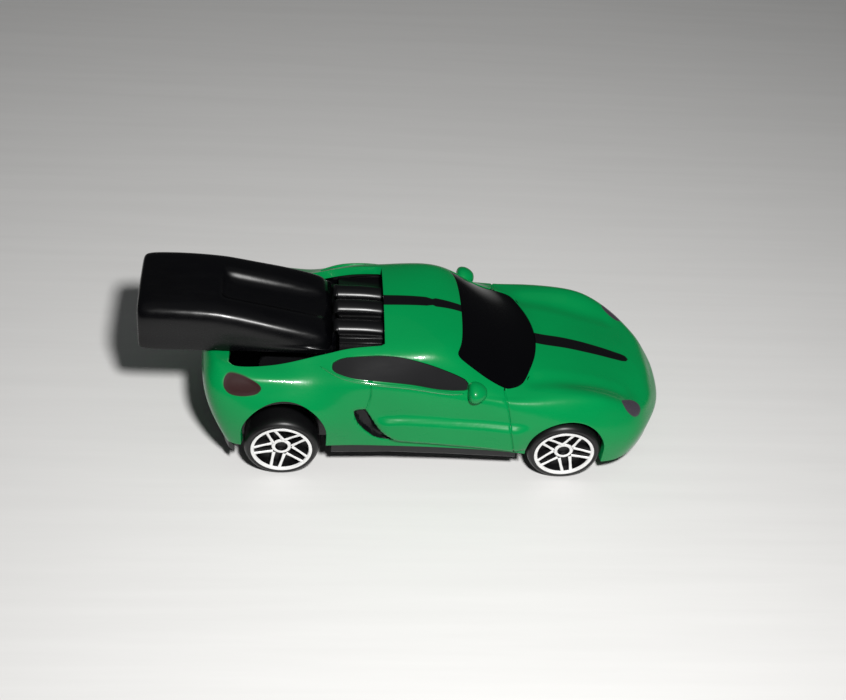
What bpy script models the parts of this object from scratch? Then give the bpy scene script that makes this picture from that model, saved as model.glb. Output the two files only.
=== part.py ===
"""Pull-back toy coupe with a hinged rear lever, as an assembly of separate named pieces.

Lengths below are millimetres. X runs forward from the rear axle, Y to the left, Z up from the
ground. CENTRE_X moves the finished car so that its overall middle sits on the world origin.
"""
import math

import bmesh
import bpy
import numpy as np
from mathutils import Matrix, Vector

# ---------------------------------------------------------------- driving dimensions (mm)
MM = 0.001
CENTRE_X = 19.1
WHEELBASE = 42.4
WHEEL_R = 5.6
WHEEL_IN = 10.65
WHEEL_OUT = 14.9
RIM_R = 4.5
SPOKE_TURN = 41.0
AXLE_R = 0.8
AXLE_HALF = 13.4
WALL = 1.3
GAP = 0.3
PANE_INSET = 0.3
GLASS_OUT = 1.6
GLASS_IN = 2.5
FLOOR_Z = 3.6
FLOOR_TOP = 5.0
MODULE = 0.4
PRESSURE = math.radians(25.0)
PINION_T = 10
COMPOUND_T = 24
BARREL_T = 26
COMPOUND_XZ = (5.9, 8.981)
BARREL_XZ = (13.1, 8.981)
LEVER_XZ = (4.6, 17.9)
LEVER_R = 1.35
CASE = (-3.5, 19.8, 2.15, 15.7)
CASE_HALF = 5.8
CASE_WALL = 0.8

# Eight lengthwise rails of the body, from the lower edge to the centre line of the roof.
# Each rail runs from the middle of the tail, round the left side, to the middle of the nose.
RAILS = [
    [(-10.3, 0, 5.8), (-10, 7, 5.8), (-8.7, 12, 6), (-7.2, 14.3, 6.3), (-3.5, 15, 6.5),
     (0.6, 15.1, 6.6), (5, 15, 6.7), (10, 14.8, 6.8), (15, 14.7, 6.7), (20.5, 14.6, 6.5),
     (25.5, 14.6, 6.3), (30, 14.6, 6), (34, 14.7, 5.7), (38, 14.8, 5.2), (42.4, 14.9, 4.6),
     (47, 14.7, 3.8), (50.8, 13.7, 3.4), (53.6, 11.6, 3.4), (56.2, 7.9, 3.3), (57.4, 4.1, 3.2),
     (57.8, 0, 3.2)],
    [(-11.3, 0, 8.5), (-11, 7.2, 8.5), (-9.6, 12.4, 8.8), (-7.7, 14.6, 9), (-3.5, 15.3, 9.2),
     (0.6, 15.4, 9.3), (5, 15.3, 9.2), (10, 14.9, 9), (15, 14.6, 8.8), (20.5, 14.4, 8.7),
     (25.5, 14.3, 8.6), (30, 14.4, 8.5), (34, 14.7, 8.3), (38, 15, 8), (42.4, 15.1, 7.6),
     (47, 14.9, 6.6), (51, 13.9, 5.9), (54, 11.9, 5.5), (56.35, 8, 5.2), (58, 4.2, 5.1),
     (58.4, 0, 5)],
    [(-12, 0, 12), (-11.7, 7.2, 12), (-10.5, 12.4, 12.3), (-8, 14.6, 12.6), (-3.5, 15.3, 13),
     (0.6, 15.4, 13.2), (5, 15.2, 13), (10, 14.7, 12.6), (15, 14.3, 12.2), (20.5, 14.1, 12),
     (25.5, 14, 11.8), (30, 14.1, 11.6), (34, 14.4, 11.5), (38, 14.8, 11.4), (42.4, 14.9, 11.2),
     (47, 14.7, 9.8), (51.2, 13.6, 8.6), (54.3, 11.6, 7.8), (56.65, 8, 7.1), (58.2, 4.1, 6.8),
     (58.6, 0, 6.6)],
    [(-12.1, 0, 15.5), (-11.8, 7, 15.5), (-10.8, 12.1, 15.9), (-7.9, 13.74, 16.25),
     (-3.5, 13.71, 16.15), (0.6, 13.65, 16.2), (5, 13.5, 16.25), (10, 13.79, 16.7),
     (15, 13.7, 16.4), (20.5, 13.5, 15.8), (25.5, 13.4, 15.2), (30, 13.4, 14.7), (34, 13.6, 14.4),
     (38, 13.7, 14.3), (42.4, 13.6, 13.9), (47, 13.2, 12.9), (51.1, 12.2, 11.3),
     (54.1, 10.6, 9.8), (56.25, 7.6, 8.7), (57.8, 4, 8.2), (58.2, 0, 8)],
    [(-11.6, 0, 17.4), (-11.5, 6.5, 17.4), (-10.3, 10.9, 17.8), (-7.8, 12.29, 18),
     (-3.5, 12.51, 17.95), (0.6, 12.24, 17.8), (5, 11.99, 17.85), (10, 12.64, 18.55),
     (15, 12.8, 18.3), (20.5, 12.7, 17.5), (25.5, 12.6, 16.5), (30, 12.5, 15.5), (34, 12.4, 15),
     (38, 12.2, 15.2), (42.4, 11.9, 15.3), (47, 11.6, 14.6), (51, 10.7, 12.6), (53.8, 9.3, 10.88),
     (56, 6.9, 9.9), (57.1, 3.8, 9.2), (57.4, 0, 9)],
    [(-11, 0, 18.2), (-10.9, 5.5, 18.2), (-9.9, 9.2, 18.8), (-7.8, 10.29, 18.8),
     (-3.5, 10.25, 18.5), (0.6, 9.94, 18.6), (5, 9.69, 19.25), (10, 10.22, 20.35),
     (15, 10.49, 20.6), (20.5, 10.8, 20.65), (25, 10.6, 19.85), (29.2, 10.9, 17.1),
     (33.2, 11.3, 15.3), (38, 9.8, 15.4), (42.4, 9, 14.9), (46.8, 8.6, 13.9), (50.6, 7.9, 12.4),
     (53.2, 7, 11.18), (55.3, 5.4, 10.6), (56.3, 3, 10.1), (56.6, 0, 10)],
    [(-10.2, 0, 18.4), (-10.1, 3.6, 18.4), (-9.3, 6.4, 18.5), (-7.6, 7.2, 18.6),
     (-3.5, 6.88, 19.1), (0.6, 6.56, 19.8), (5, 6.77, 20.9), (10, 7.08, 21.6), (15, 7.18, 21.8),
     (20.5, 7.3, 22.1), (25.2, 7, 21.2), (29.9, 6.7, 18.7), (34.4, 7, 16.2), (38.6, 5.6, 15.3),
     (42.4, 5.2, 14.7), (46.6, 4.9, 13.6), (50.2, 4.4, 12.4), (52.6, 3.8, 11.6), (54.4, 2.9, 11),
     (55.2, 1.6, 10.8), (55.5, 0, 10.7)],
    [(-9.6, 0, 18.45), (-9.2, 0, 18.45), (-8.5, 0, 18.5), (-7, 0, 18.7), (-3.3, 0, 19.8),
     (0.6, 0, 20.8), (5, 0, 21.8), (10, 0, 22.4), (15, 0, 22.6), (20.5, 0, 22.5), (25.6, 0, 21.5),
     (30.6, 0, 19.1), (35, 0, 16.8), (38.9, 0, 15.35), (42.4, 0, 14.75), (46.2, 0, 13.8),
     (49.4, 0, 12.8), (51.6, 0, 12), (53.2, 0, 11.5), (54, 0, 11.25), (54.4, 0, 11.1)],
]

# Outlines of the openings, in side view (x, z) or plan (x, y half).
SIDE_WINDOW = [(7.0, 19.15), (7.4, 19.6), (9.1, 20.25), (12, 20.7), (15, 20.85), (18, 20.75),
               (21.2, 20.15), (24, 19.1), (26, 18.1), (26.9, 17.4), (26.9, 16.7), (26.4, 16.4),
               (22.6, 16.8), (18.3, 17.7), (13, 18.4), (8.9, 18.6), (7.3, 18.75)]
WINDSCREEN = [(26.3, 0), (26.2, 4), (25.9, 7), (25.2, 9.2), (25.9, 9.8), (29, 10.4), (32.4, 11.0),
              (33.4, 10.9), (35.3, 9.8), (36.8, 6.8), (37.9, 3.5), (38.3, 0)]
HATCH = [(-7.8, 0), (-7.8, 9.9), (-7.0, 10.6), (-5.5, 10.7), (-3.6, 10.5), (-1.6, 10.2),
         (0.4, 9.85), (2.4, 9.5), (4.5, 9.25), (6.8, 9.15), (9, 9.0), (11.8, 8.85), (14.6, 8.65),
         (14.6, 0)]
REAR_ARCH = (0.3, 9.05, 6.25)
FRONT_ARCH = (42.4, 6.2, 6.0)
VALANCE = (-9.2, 4.4, 8.3)
POST_X = -8.2
INTAKE = [(10.2, 13.9), (12.2, 13.9), (12.9, 12.6), (13.7, 11.2), (14.7, 10.0), (16.6, 8.6),
          (17.0, 8.0), (15.6, 7.8), (14.0, 8.2), (12.4, 9.4), (11.1, 11.0), (10.4, 12.7)]


# ---------------------------------------------------------------- the body's skin as a surface
def ghost(net):
    """Add a mirrored station at each end, a mirrored rail above and an extended rail below."""
    flip = np.array([1.0, -1.0, 1.0])
    net = np.concatenate([net[1:2] * flip, net, net[-2:-1] * flip], 0)
    low = 2 * net[:, :1] - net[:, 1:2]
    return np.concatenate([low, net, net[:, -2:-1] * flip], 1)


def on_knots(net):
    full = ghost(net)
    rows = (full[:-2] + 4 * full[1:-1] + full[2:]) / 6
    return (rows[:, :-2] + 4 * rows[:, 1:-1] + rows[:, 2:]) / 6


def control_net(points, rounds=4):
    net = points.copy()
    for _ in range(rounds):
        net = net + (points - on_knots(net))
    return ghost(net)


def weights(t):
    return np.stack([(1 - t) ** 3, 3 * t ** 3 - 6 * t ** 2 + 4,
                     -3 * t ** 3 + 3 * t ** 2 + 3 * t + 1, t ** 3], -1) / 6


def slopes(t):
    return np.stack([-3 * (1 - t) ** 2, 9 * t ** 2 - 12 * t, -9 * t ** 2 + 6 * t + 3,
                     3 * t ** 2], -1) / 6


POINTS = np.array(RAILS, float).transpose(1, 0, 2)
NET = control_net(POINTS)
LAST_U = POINTS.shape[0] - 1
LAST_V = POINTS.shape[1] - 1


def surface(u, v, along=weights, across=weights):
    iu = np.clip(np.floor(u).astype(int), 0, NET.shape[0] - 4)
    iv = np.clip(np.floor(v).astype(int), 0, NET.shape[1] - 4)
    wu = along(u - iu)
    wv = across(v - iv)
    out = 0
    for a in range(4):
        for b in range(4):
            out = out + wu[:, a, None, None] * wv[None, :, b, None] * NET[iu + a][:, iv + b]
    return out


def inward(u, v):
    """Directions into the body, evened out so that tight corners don't fold when inset."""
    uu = np.clip(u, 0.15, LAST_U - 0.15)
    vv = np.clip(v, 0.0, LAST_V - 0.15)
    normal = np.cross(surface(uu, vv, slopes, weights), surface(uu, vv, weights, slopes))
    normal[(u == 0) | (u == LAST_U), :, 1] = 0
    normal[:, v == LAST_V, 1] = 0
    normal /= np.linalg.norm(normal, axis=-1, keepdims=True)
    for _ in range(3):
        for axis in (0, 1):
            wide = np.concatenate([normal.take([0], axis), normal, normal.take([-1], axis)], axis)
            count = normal.shape[axis]
            before = wide.take(range(count), axis)
            after = wide.take(range(2, count + 2), axis)
            normal = (before + 2 * normal + after) / 4
    return normal


def skin(u, v, inset=0.0):
    """Points of the left half of the body, moved inwards by inset."""
    out = surface(u, v)
    if inset:
        out = out + inward(u, v) * inset
    out[(u == 0) | (u == LAST_U), :, 1] = 0
    out[:, v == LAST_V, 1] = 0
    return out


GRID_U = np.array([0, 0.5, 1, 1.5, 2, 2.5, 3, 4, 5, 6, 7, 8, 9, 10, 10.5, 11, 12, 12.5, 13, 14, 15,
                   16, 17, 18, 18.5, 19, 19.5, 20])
GRID_V = np.array([0, 1, 2, 3, 3.5, 4, 4.5, 5, 5.5, 6, 7])


# ---------------------------------------------------------------- small mesh tools
def material(name, color, rough, metal=0.0):
    mat = bpy.data.materials.new(name)
    mat.use_nodes = True
    shader = mat.node_tree.nodes["Principled BSDF"]
    shader.inputs["Base Color"].default_value = (*color, 1.0)
    shader.inputs["Roughness"].default_value = rough
    shader.inputs["Metallic"].default_value = metal
    mat.diffuse_color = (*color, 1.0)
    return mat


def make(name, verts, faces, mat=None, origin=(0.0, 0.0, 0.0)):
    """One closed mesh object; verts and origin are in car millimetres."""
    at = Vector(origin)
    mesh = bpy.data.meshes.new(name)
    mesh.from_pydata([(Vector(p) - at) * MM for p in verts], [], faces)
    clean(mesh)
    obj = bpy.data.objects.new(name, mesh)
    obj.location = ((origin[0] - CENTRE_X) * MM, origin[1] * MM, origin[2] * MM)
    if mat:
        mesh.materials.append(mat)
    bpy.context.scene.collection.objects.link(obj)
    return obj


def clean(mesh):
    bm = bmesh.new()
    bm.from_mesh(mesh)
    bmesh.ops.remove_doubles(bm, verts=bm.verts, dist=2e-6)
    bmesh.ops.dissolve_degenerate(bm, edges=bm.edges, dist=1e-6)
    bmesh.ops.recalc_face_normals(bm, faces=bm.faces)
    bm.to_mesh(mesh)
    bm.free()


def join_cut(target, other, how):
    """Apply an exact Boolean and drop the second object."""
    mod = target.modifiers.new(how.lower(), "BOOLEAN")
    mod.operation = how
    mod.solver = "EXACT"
    mod.object = other
    graph = bpy.context.evaluated_depsgraph_get()
    mesh = bpy.data.meshes.new_from_object(target.evaluated_get(graph))
    old = target.data
    mats = [m for m in old.materials]
    target.modifiers.clear()
    target.data = mesh
    mesh.name = target.name
    mesh.materials.clear()
    for mat in mats:
        mesh.materials.append(mat)
    mesh.polygons.foreach_set("material_index", [0] * len(mesh.polygons))
    clean(mesh)
    bpy.data.objects.remove(other)
    return target


def cut(target, *others):
    for other in others:
        join_cut(target, other, "DIFFERENCE")
    return target


def add(target, *others):
    for other in others:
        join_cut(target, other, "UNION")
    return target


def loft(name, rings, mat=None, origin=(0.0, 0.0, 0.0)):
    """Closed solid through rings that all have the same number of points."""
    count = len(rings[0])
    verts = [p for ring in rings for p in ring]
    faces = [tuple(range(count)), tuple(range(len(verts) - count, len(verts)))]
    for i in range(len(rings) - 1):
        for j in range(count):
            k = (j + 1) % count
            faces.append((i * count + j, i * count + k, (i + 1) * count + k, (i + 1) * count + j))
    return make(name, verts, faces, mat, origin)


def prism_y(name, outline, low, high, mat=None, origin=(0.0, 0.0, 0.0)):
    return loft(name, [[(x, y, z) for x, z in outline] for y in (low, high)], mat, origin)


def prism_z(name, outline, low, high, mat=None, origin=(0.0, 0.0, 0.0)):
    return loft(name, [[(x, y, z) for x, y in outline] for z in (low, high)], mat, origin)


def box(name, x0, x1, y0, y1, z0, z1, mat=None):
    return prism_z(name, [(x0, y0), (x1, y0), (x1, y1), (x0, y1)], z0, z1, mat)


def circle(cx, cz, radius, count=24, start=0.0):
    step = 2 * math.pi / count
    return [(cx + radius * math.cos(start + i * step), cz + radius * math.sin(start + i * step))
            for i in range(count)]


def both(outline):
    """Mirror a half outline that starts and ends on the centre line."""
    return outline + [(x, -y) for x, y in reversed(outline) if abs(y) > 1e-9]


def grow(outline, amount):
    """Move each corner of a closed outline outwards by about the amount."""
    count = len(outline)
    area = sum(outline[i][0] * outline[(i + 1) % count][1] - outline[(i + 1) % count][0]
               * outline[i][1] for i in range(count))
    sign = 1 if area > 0 else -1
    out = []
    for i in range(count):
        a = Vector(outline[i - 1])
        b = Vector(outline[i])
        c = Vector(outline[(i + 1) % count])
        n1 = Vector(((b - a).y, -(b - a).x)).normalized()
        n2 = Vector(((c - b).y, -(c - b).x)).normalized()
        n = (n1 + n2).normalized()
        out.append(tuple(b + n * sign * amount / max(0.5, n.dot(n1))))
    return out


def lathe_y(name, profile, count, mat, origin):
    """Turn (radius, y) points round an axis along Y through origin (x, z)."""
    ox, oz = origin
    verts = []
    faces = []
    rows = []
    for radius, y in profile:
        if radius < 1e-9:
            rows.append([len(verts)] * count)
            verts.append((ox, y, oz))
            continue
        rows.append(list(range(len(verts), len(verts) + count)))
        verts += [(x, y, z) for x, z in circle(ox, oz, radius, count)]
    for a, b in zip(rows, rows[1:] + rows[:1]):
        for j in range(count):
            k = (j + 1) % count
            face = list(dict.fromkeys((a[j], a[k], b[k], b[j])))
            if len(face) > 2:
                faces.append(face)
    return make(name, verts, faces, mat, (ox, 0.0, oz))


def smooth(obj, degrees=32.0):
    obj.data.shade_smooth()
    obj.data.set_sharp_from_angle(angle=math.radians(degrees))


# ---------------------------------------------------------------- body, glazing
def skin_solid(name, inset, drop, mat=None):
    """Closed lump bounded by the inset skin; the lower edge can be dropped for a cutter."""
    half = skin(GRID_U, GRID_V, inset)
    half[:, 0, 2] -= drop
    nu, nv = half.shape[:2]
    left = half.reshape(-1, 3)
    right = left * np.array([1.0, -1.0, 1.0])
    verts = [tuple(p) for p in np.concatenate([left, right])]
    faces = []
    for side in range(2):
        base = side * nu * nv
        for i in range(nu - 1):
            for j in range(nv - 1):
                a = base + i * nv + j
                faces.append((a, a + nv, a + nv + 1, a + 1))
    for i in range(nu - 1):
        a = i * nv
        b = (i + 1) * nv
        faces.append((a, b, nu * nv + b, nu * nv + a))
    return make(name, verts, faces, mat)


def patch_solid(name, u, v, outer, inner, mat=None):
    """Slab between two insets over part of the skin, on both sides as one piece."""
    rings = []
    for inset in (outer, inner):
        half = skin(u, v, inset)
        other = half[:, ::-1][:, 1:] * np.array([1.0, -1.0, 1.0])
        rings.append(np.concatenate([half, other], 1))
    nu, nv = rings[0].shape[:2]
    verts = [tuple(p) for p in np.concatenate([r.reshape(-1, 3) for r in rings])]
    top = nu * nv
    faces = []
    for base in (0, top):
        for i in range(nu - 1):
            for j in range(nv - 1):
                a = base + i * nv + j
                faces.append((a, a + nv, a + nv + 1, a + 1))
    rim = [i * nv for i in range(nu)] + [(nu - 1) * nv + j for j in range(1, nv)]
    rim += [i * nv + nv - 1 for i in range(nu - 2, -1, -1)] + list(range(nv - 2, 0, -1))
    for a, b in zip(rim, rim[1:] + rim[:1]):
        faces.append((a, b, top + b, top + a))
    return make(name, verts, faces, mat)


def window_cutters(amount):
    side = grow(SIDE_WINDOW, amount)
    cutters = [prism_z("cut", grow(both(WINDSCREEN), amount), 13.0, 26.0)]
    cutters.append(prism_y("cut", side, 8.0, 17.0))
    cutters.append(prism_y("cut", side, -17.0, -8.0))
    return cutters


def arch(cx, cz, radius):
    points = [(cx + radius * math.cos(a), cz + radius * math.sin(a))
              for a in [math.pi * i / 18 for i in range(19)]]
    return points + [(cx - radius, 0.0), (cx + radius, 0.0)]


def mirror_pod(side):
    """A door mirror: a small rounded pod that tapers towards the front."""
    rings = []
    for x, size in ((26.9, 0.35), (27.1, 0.85), (27.6, 1.0), (28.4, 0.95), (29.2, 0.7), (29.7, 0.3)):
        rings.append([(x, side * (12.9 + 1.8 * size * math.cos(a)), 16.45 + 1.35 * size * math.sin(a))
                      for a in [2 * math.pi * i / 14 for i in range(14)]])
    return loft("pod", rings)


def post(x, y, low, high, radius):
    return prism_z("post", circle(x, y, radius, 16), low, high)


def build_body(mat):
    body = skin_solid("body_shell", 0.0, 0.0, mat)
    cut(body, skin_solid("cut", WALL, 3.0))
    add(body, mirror_pod(1), mirror_pod(-1))
    add(body, post(51.3, 0, 6.3, 11.2, 2.0))
    add(body, post(POST_X, 6, 6.3, 14.0, 1.5), post(POST_X, -6, 6.3, 14.0, 1.5))
    for y in (6, -6):
        add(body, box("rib", -11.2, POST_X, y - 0.5, y + 0.5, 9.4, 17.3))
    cut(body, *window_cutters(0.0))
    cut(body, prism_z("cut", both(HATCH), 14.5, 26.0))
    for low, high in ((9.0, 17.0), (-17.0, -9.0)):
        cut(body, prism_y("cut", arch(*REAR_ARCH), low, high))
        cut(body, prism_y("cut", arch(*FRONT_ARCH), low, high))
    cut(body, prism_y("cut", INTAKE, 13.95, 17.0), prism_y("cut", INTAKE, -17.0, -13.95))
    cut(body, box("cut", -14, VALANCE[0], -VALANCE[1], VALANCE[1], 3.0, VALANCE[2]))
    cut(body, post(51.3, 0, 5.0, 10.2, 0.85), post(POST_X, 6, 5.0, 12.5, 0.85), post(POST_X, -6, 5.0, 12.5, 0.85))
    smooth(body, 35)
    return body


def build_glazing(mat):
    u = GRID_U[(GRID_U >= 6) & (GRID_U <= 13)]
    v = GRID_V[GRID_V >= 3.5]
    glass = patch_solid("window_insert", u, v, GLASS_OUT, GLASS_IN, mat)
    for cutter in window_cutters(-0.3):
        pane = patch_solid("pane", u, v, PANE_INSET, 2.0)
        join_cut(pane, cutter, "INTERSECT")
        add(glass, pane)
    cut(glass, prism_z("cut", grow(both(HATCH), 1.1), 10.0, 26.0))
    smooth(glass, 35)
    return glass


# ---------------------------------------------------------------- chassis
def skirt(side):
    rings = []
    for x, low, high, outer in ((7.4, 3.9, 6.35, 14.1), (16, 4.1, 6.3, 14.0), (25.5, 3.7, 5.95, 13.9),
                                (35.2, 3.3, 5.25, 14.0)):
        rings.append([(x, side * (outer - 0.5), low), (x, side * outer, low + 0.6),
                      (x, side * outer, high), (x, side * 12.6, high), (x, side * 12.6, 5.0),
                      (x, side * 11.5, 5.0), (x, side * 11.5, low)])
    return loft("skirt", rings)


def floor_outline(inset, first, last, step=0.5):
    u = np.arange(first, last + 1e-6, step)
    line = skin(u, np.array([0.0]), inset)[:, 0]
    half = [(float(x), float(y)) for x, y, z in line]
    return half + [(x, -y) for x, y in reversed(half) if abs(y) > 1e-9]


def liner(x0, x1, top, side):
    """Inner wheel-arch wall with chamfered upper corners."""
    outline = [(x0, FLOOR_Z + 0.4), (x1, FLOOR_Z + 0.4), (x1, top - 2.6), (x1 - 2.6, top),
               (x0 + 2.6, top), (x0, top - 2.6)]
    return prism_y("liner", outline, min(side * 9.0, side * 9.9), max(side * 9.0, side * 9.9))


def arch_cover(cx, cz, inner, outer, side, reach):
    """Curved cover over a wheel, joined to the inner wall."""
    angles = [math.radians(12 + 12 * i) for i in range(14)]
    outline = [(cx + outer * math.cos(a), cz + outer * math.sin(a)) for a in angles]
    outline += [(cx + inner * math.cos(a), cz + inner * math.sin(a)) for a in reversed(angles)]
    low, high = sorted((side * 9.2, side * reach))
    return prism_y("cover", outline, low, high)


def screw_boss(x, y, radius=2.4, top=5.5):
    return prism_z("boss", circle(x, y, radius, 16), FLOOR_Z, top)


def build_chassis(mat):
    base = prism_z("chassis_base", floor_outline(1.85, 0, 20), FLOOR_Z, FLOOR_TOP, mat)
    rear = [p for p in floor_outline(0.4, 0, 3.4)]
    add(base, prism_z("lip", rear, 4.2, 5.5))
    for x0, x1 in ((-6.4, 7.4), (35.3, 48.7)):
        cut(base, box("cut", x0, x1, 9.9, 20, 2, 9), box("cut", x0, x1, -20, -9.9, 2, 9))
    for side in (1, -1):
        add(base, skirt(side), liner(-6.3, 7.3, 13.4, side), liner(35.4, 48.6, 12.0, side))
        add(base, arch_cover(0.5, 7.3, 6.3, 7.0, side, 13.1))
        add(base, arch_cover(42.4, 5.8, 6.1, 6.7, side, 12.0))
    valance = [(-11.0, 0), (-10.9, 4.1), (-8.9, 4.1), (-8.9, 0)]
    add(base, prism_z("valance", both(valance), 4.3, VALANCE[2] - 0.3))
    cut(base, box("cut", -3.9, 20.2, -6.3, 6.3, 2, 9))
    for x, y in ((51.3, 0), (POST_X, 6), (POST_X, -6)):
        add(base, screw_boss(x, y, 2.4 if y == 0 else 1.9))
        cut(base, post(x, y, 3.0, 7.0, 0.95), post(x, y, 3.0, 4.9, 1.55))
    for side in (1, -1):
        cut(base, post(21.4, side * 3.5, 3.0, 7.0, 0.85))
    for x in (0.0, WHEELBASE):
        cut(base, prism_y("cut", circle(x, WHEEL_R, 0.9, 16), -11, 11))
    for x in (27.5, 33.0):
        cut(base, box("cut", x, x + 2.2, -8.5, 8.5, 4.2, 6.0))
    smooth(base, 30)
    return base


# ---------------------------------------------------------------- wheels and axles
def spoke(side, angle, offset, cx):
    ca = math.cos(angle)
    sa = math.sin(angle)
    outline = []
    for r, w in ((1.1, offset - 0.28), (1.1, offset + 0.28), (4.1, offset + 0.28),
                 (4.1, offset - 0.28)):
        outline.append((cx + r * ca - w * sa, WHEEL_R + r * sa + w * ca))
    y = sorted((side * (WHEEL_OUT - 0.9), side * (WHEEL_OUT - 0.2)))
    return prism_y("spoke", outline, y[0], y[1])


def build_wheel(name, cx, side, mat):
    lip = WHEEL_OUT
    profile = [(0, lip - 0.9), (0.9, lip - 0.9), (0.95, lip - 0.3), (1.4, lip - 0.35),
               (1.5, lip - 0.9), (3.8, lip - 0.9), (3.9, lip - 0.1), (RIM_R, lip),
               (5.15, lip), (WHEEL_R, lip - 0.5), (WHEEL_R, WHEEL_IN + 0.45), (5.2, WHEEL_IN),
               (2.0, WHEEL_IN), (0.85, WHEEL_IN), (0.85, 13.6), (0, 13.6)]
    wheel = lathe_y(name, [(r, side * y) for r, y in profile], 24, mat, (cx, WHEEL_R))
    for i in range(5):
        for offset in (0.74, -0.74):
            bar = spoke(side, math.radians(SPOKE_TURN + 72 * i), offset, cx)
            add(wheel, bar)
    smooth(wheel, 35)
    return wheel


def build_axle(name, cx, mat):
    h = AXLE_HALF
    profile = [(0, -h), (0.6, -h), (AXLE_R, -h + 0.2), (AXLE_R, h - 0.2), (0.6, h), (0, h)]
    axle = lathe_y(name, profile, 20, mat, (cx, WHEEL_R))
    smooth(axle)
    return axle


# ---------------------------------------------------------------- motor
def gear_outline(cx, cz, teeth, phase):
    """Involute spur gear outline with a tooth centred on the phase angle."""
    pitch = MODULE * teeth / 2
    base = pitch * math.cos(PRESSURE)
    tip = pitch + 0.8 * MODULE
    root = pitch - 1.05 * MODULE
    inv = math.tan(PRESSURE) - PRESSURE
    half = math.pi / (2 * teeth) - 0.05 / pitch
    flank = []
    for i in range(3):
        r = max(base, root) + (tip - max(base, root)) * i / 2
        a = math.acos(min(1.0, base / r))
        flank.append((r, half + inv - (math.tan(a) - a)))
    if root < base:
        flank.insert(0, (root, flank[0][1] + 0.01))
    points = []
    for i in range(teeth):
        mid = phase + 2 * math.pi * i / teeth
        line = [(r, mid - a) for r, a in flank] + [(r, mid + a) for r, a in reversed(flank)]
        points += [(cx + r * math.cos(a), cz + r * math.sin(a)) for r, a in line]
    return points


def angle_to(a, b):
    return math.atan2(b[1] - a[1], b[0] - a[0])


def bore_y(x, z, radius, low=-20.0, high=20.0, count=20):
    return prism_y("cut", circle(x, z, radius, count), low, high)


def build_gears(mats):
    axle = (0.0, WHEEL_R)
    toward = angle_to(axle, COMPOUND_XZ)
    onward = angle_to(COMPOUND_XZ, BARREL_XZ)
    pinion = prism_y("axle_pinion", gear_outline(*axle, PINION_T, toward), -3.9, -2.1, mats["gear"],
                     (axle[0], 0.0, axle[1]))
    cut(pinion, bore_y(*axle, 0.85))
    centre = (COMPOUND_XZ[0], 0.0, COMPOUND_XZ[1])
    shift = math.pi / COMPOUND_T
    big = gear_outline(*COMPOUND_XZ, COMPOUND_T, toward + math.pi + shift)
    compound = prism_y("compound_gear", big, -3.7, -2.3, mats["gear"], centre)
    small = gear_outline(*COMPOUND_XZ, PINION_T, onward)
    add(compound, prism_y("small", small, -2.6, 0.5))
    cut(compound, bore_y(*COMPOUND_XZ, 0.68))
    centre = (BARREL_XZ[0], 0.0, BARREL_XZ[1])
    shift = math.pi / BARREL_T
    rim = gear_outline(*BARREL_XZ, BARREL_T, onward + math.pi + shift)
    barrel = prism_y("barrel_gear", rim, -1.3, 0.3, mats["gear"], centre)
    add(barrel, prism_y("hub", circle(*BARREL_XZ, 1.7, 20), -2.0, 0.6))
    cut(barrel, bore_y(*BARREL_XZ, 0.74))
    for gear in (pinion, compound, barrel):
        smooth(gear, 25)
    arbor("compound_arbor", COMPOUND_XZ, 0.6, mats["steel"])
    arbor("barrel_arbor", BARREL_XZ, 0.66, mats["steel"])


def arbor(name, xz, radius, mat):
    h = 5.7
    profile = [(0, -h), (radius - 0.12, -h), (radius, -h + 0.15), (radius, h - 0.15),
               (radius - 0.12, h), (0, h)]
    smooth(lathe_y(name, profile, 16, mat, xz))


def build_mainspring(mat):
    """Flat spiral spring round the barrel arbor, its outer end hooked to the case."""
    cx, cz = BARREL_XZ
    rings = []
    count = 60
    for i in range(count + 1):
        t = i / count
        a = 2 * math.pi * 5.0 * t
        r = 1.15 + 4.1 * t
        ring = []
        for dr, y in ((-0.14, 1.0), (0.14, 1.0), (0.14, 4.3), (-0.14, 4.3)):
            ring.append((cx + (r + dr) * math.cos(a), y, cz + (r + dr) * math.sin(a)))
        rings.append(ring)
    smooth(loft("mainspring", rings, mat), 40)


def rounded(x0, x1, z0, z1, radius=1.2, steps=4):
    points = []
    for cx, cz, start in ((x1 - radius, z1 - radius, 0), (x0 + radius, z1 - radius, 90),
                          (x0 + radius, z0 + radius, 180), (x1 - radius, z0 + radius, 270)):
        for i in range(steps + 1):
            a = math.radians(start + 90 * i / steps)
            points.append((cx + radius * math.cos(a), cz + radius * math.sin(a)))
    return points


def build_case(name, side, mat):
    x0, x1, z0, z1 = CASE
    w = CASE_WALL
    low, high = sorted((side * 0.15, side * CASE_HALF))
    case = prism_y(name, rounded(x0, x1, z0, z1), low, high, mat)
    low, high = sorted((side * -1.0, side * (CASE_HALF - w)))
    cut(case, prism_y("cut", rounded(x0 + w, x1 - w, z0 + w, z1 - w, 0.6), low, high))
    low, high = sorted((side * 1.2, side * CASE_HALF))
    add(case, box("ear", x1 - 0.4, 23.2, low, high, 5.3, 6.3))
    lx, lz = LEVER_XZ
    lug = [(lx - 1.2, z1 - 0.5), (lx + 1.2, z1 - 0.5)]
    lug += [(lx + LEVER_R * math.cos(a), lz + LEVER_R * math.sin(a))
            for a in [math.pi * i / 12 for i in range(13)]]
    low, high = sorted((side * 4.5, side * CASE_HALF))
    add(case, prism_y("lug", lug, low, high))
    cut(case, bore_y(lx, lz, 0.82))
    cut(case, post(21.4, side * 3.5, 4.0, 8.0, 0.95))
    cut(case, bore_y(0.0, WHEEL_R, 0.88), bore_y(*COMPOUND_XZ, 0.68), bore_y(*BARREL_XZ, 0.74))
    smooth(case, 30)
    return case


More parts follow.
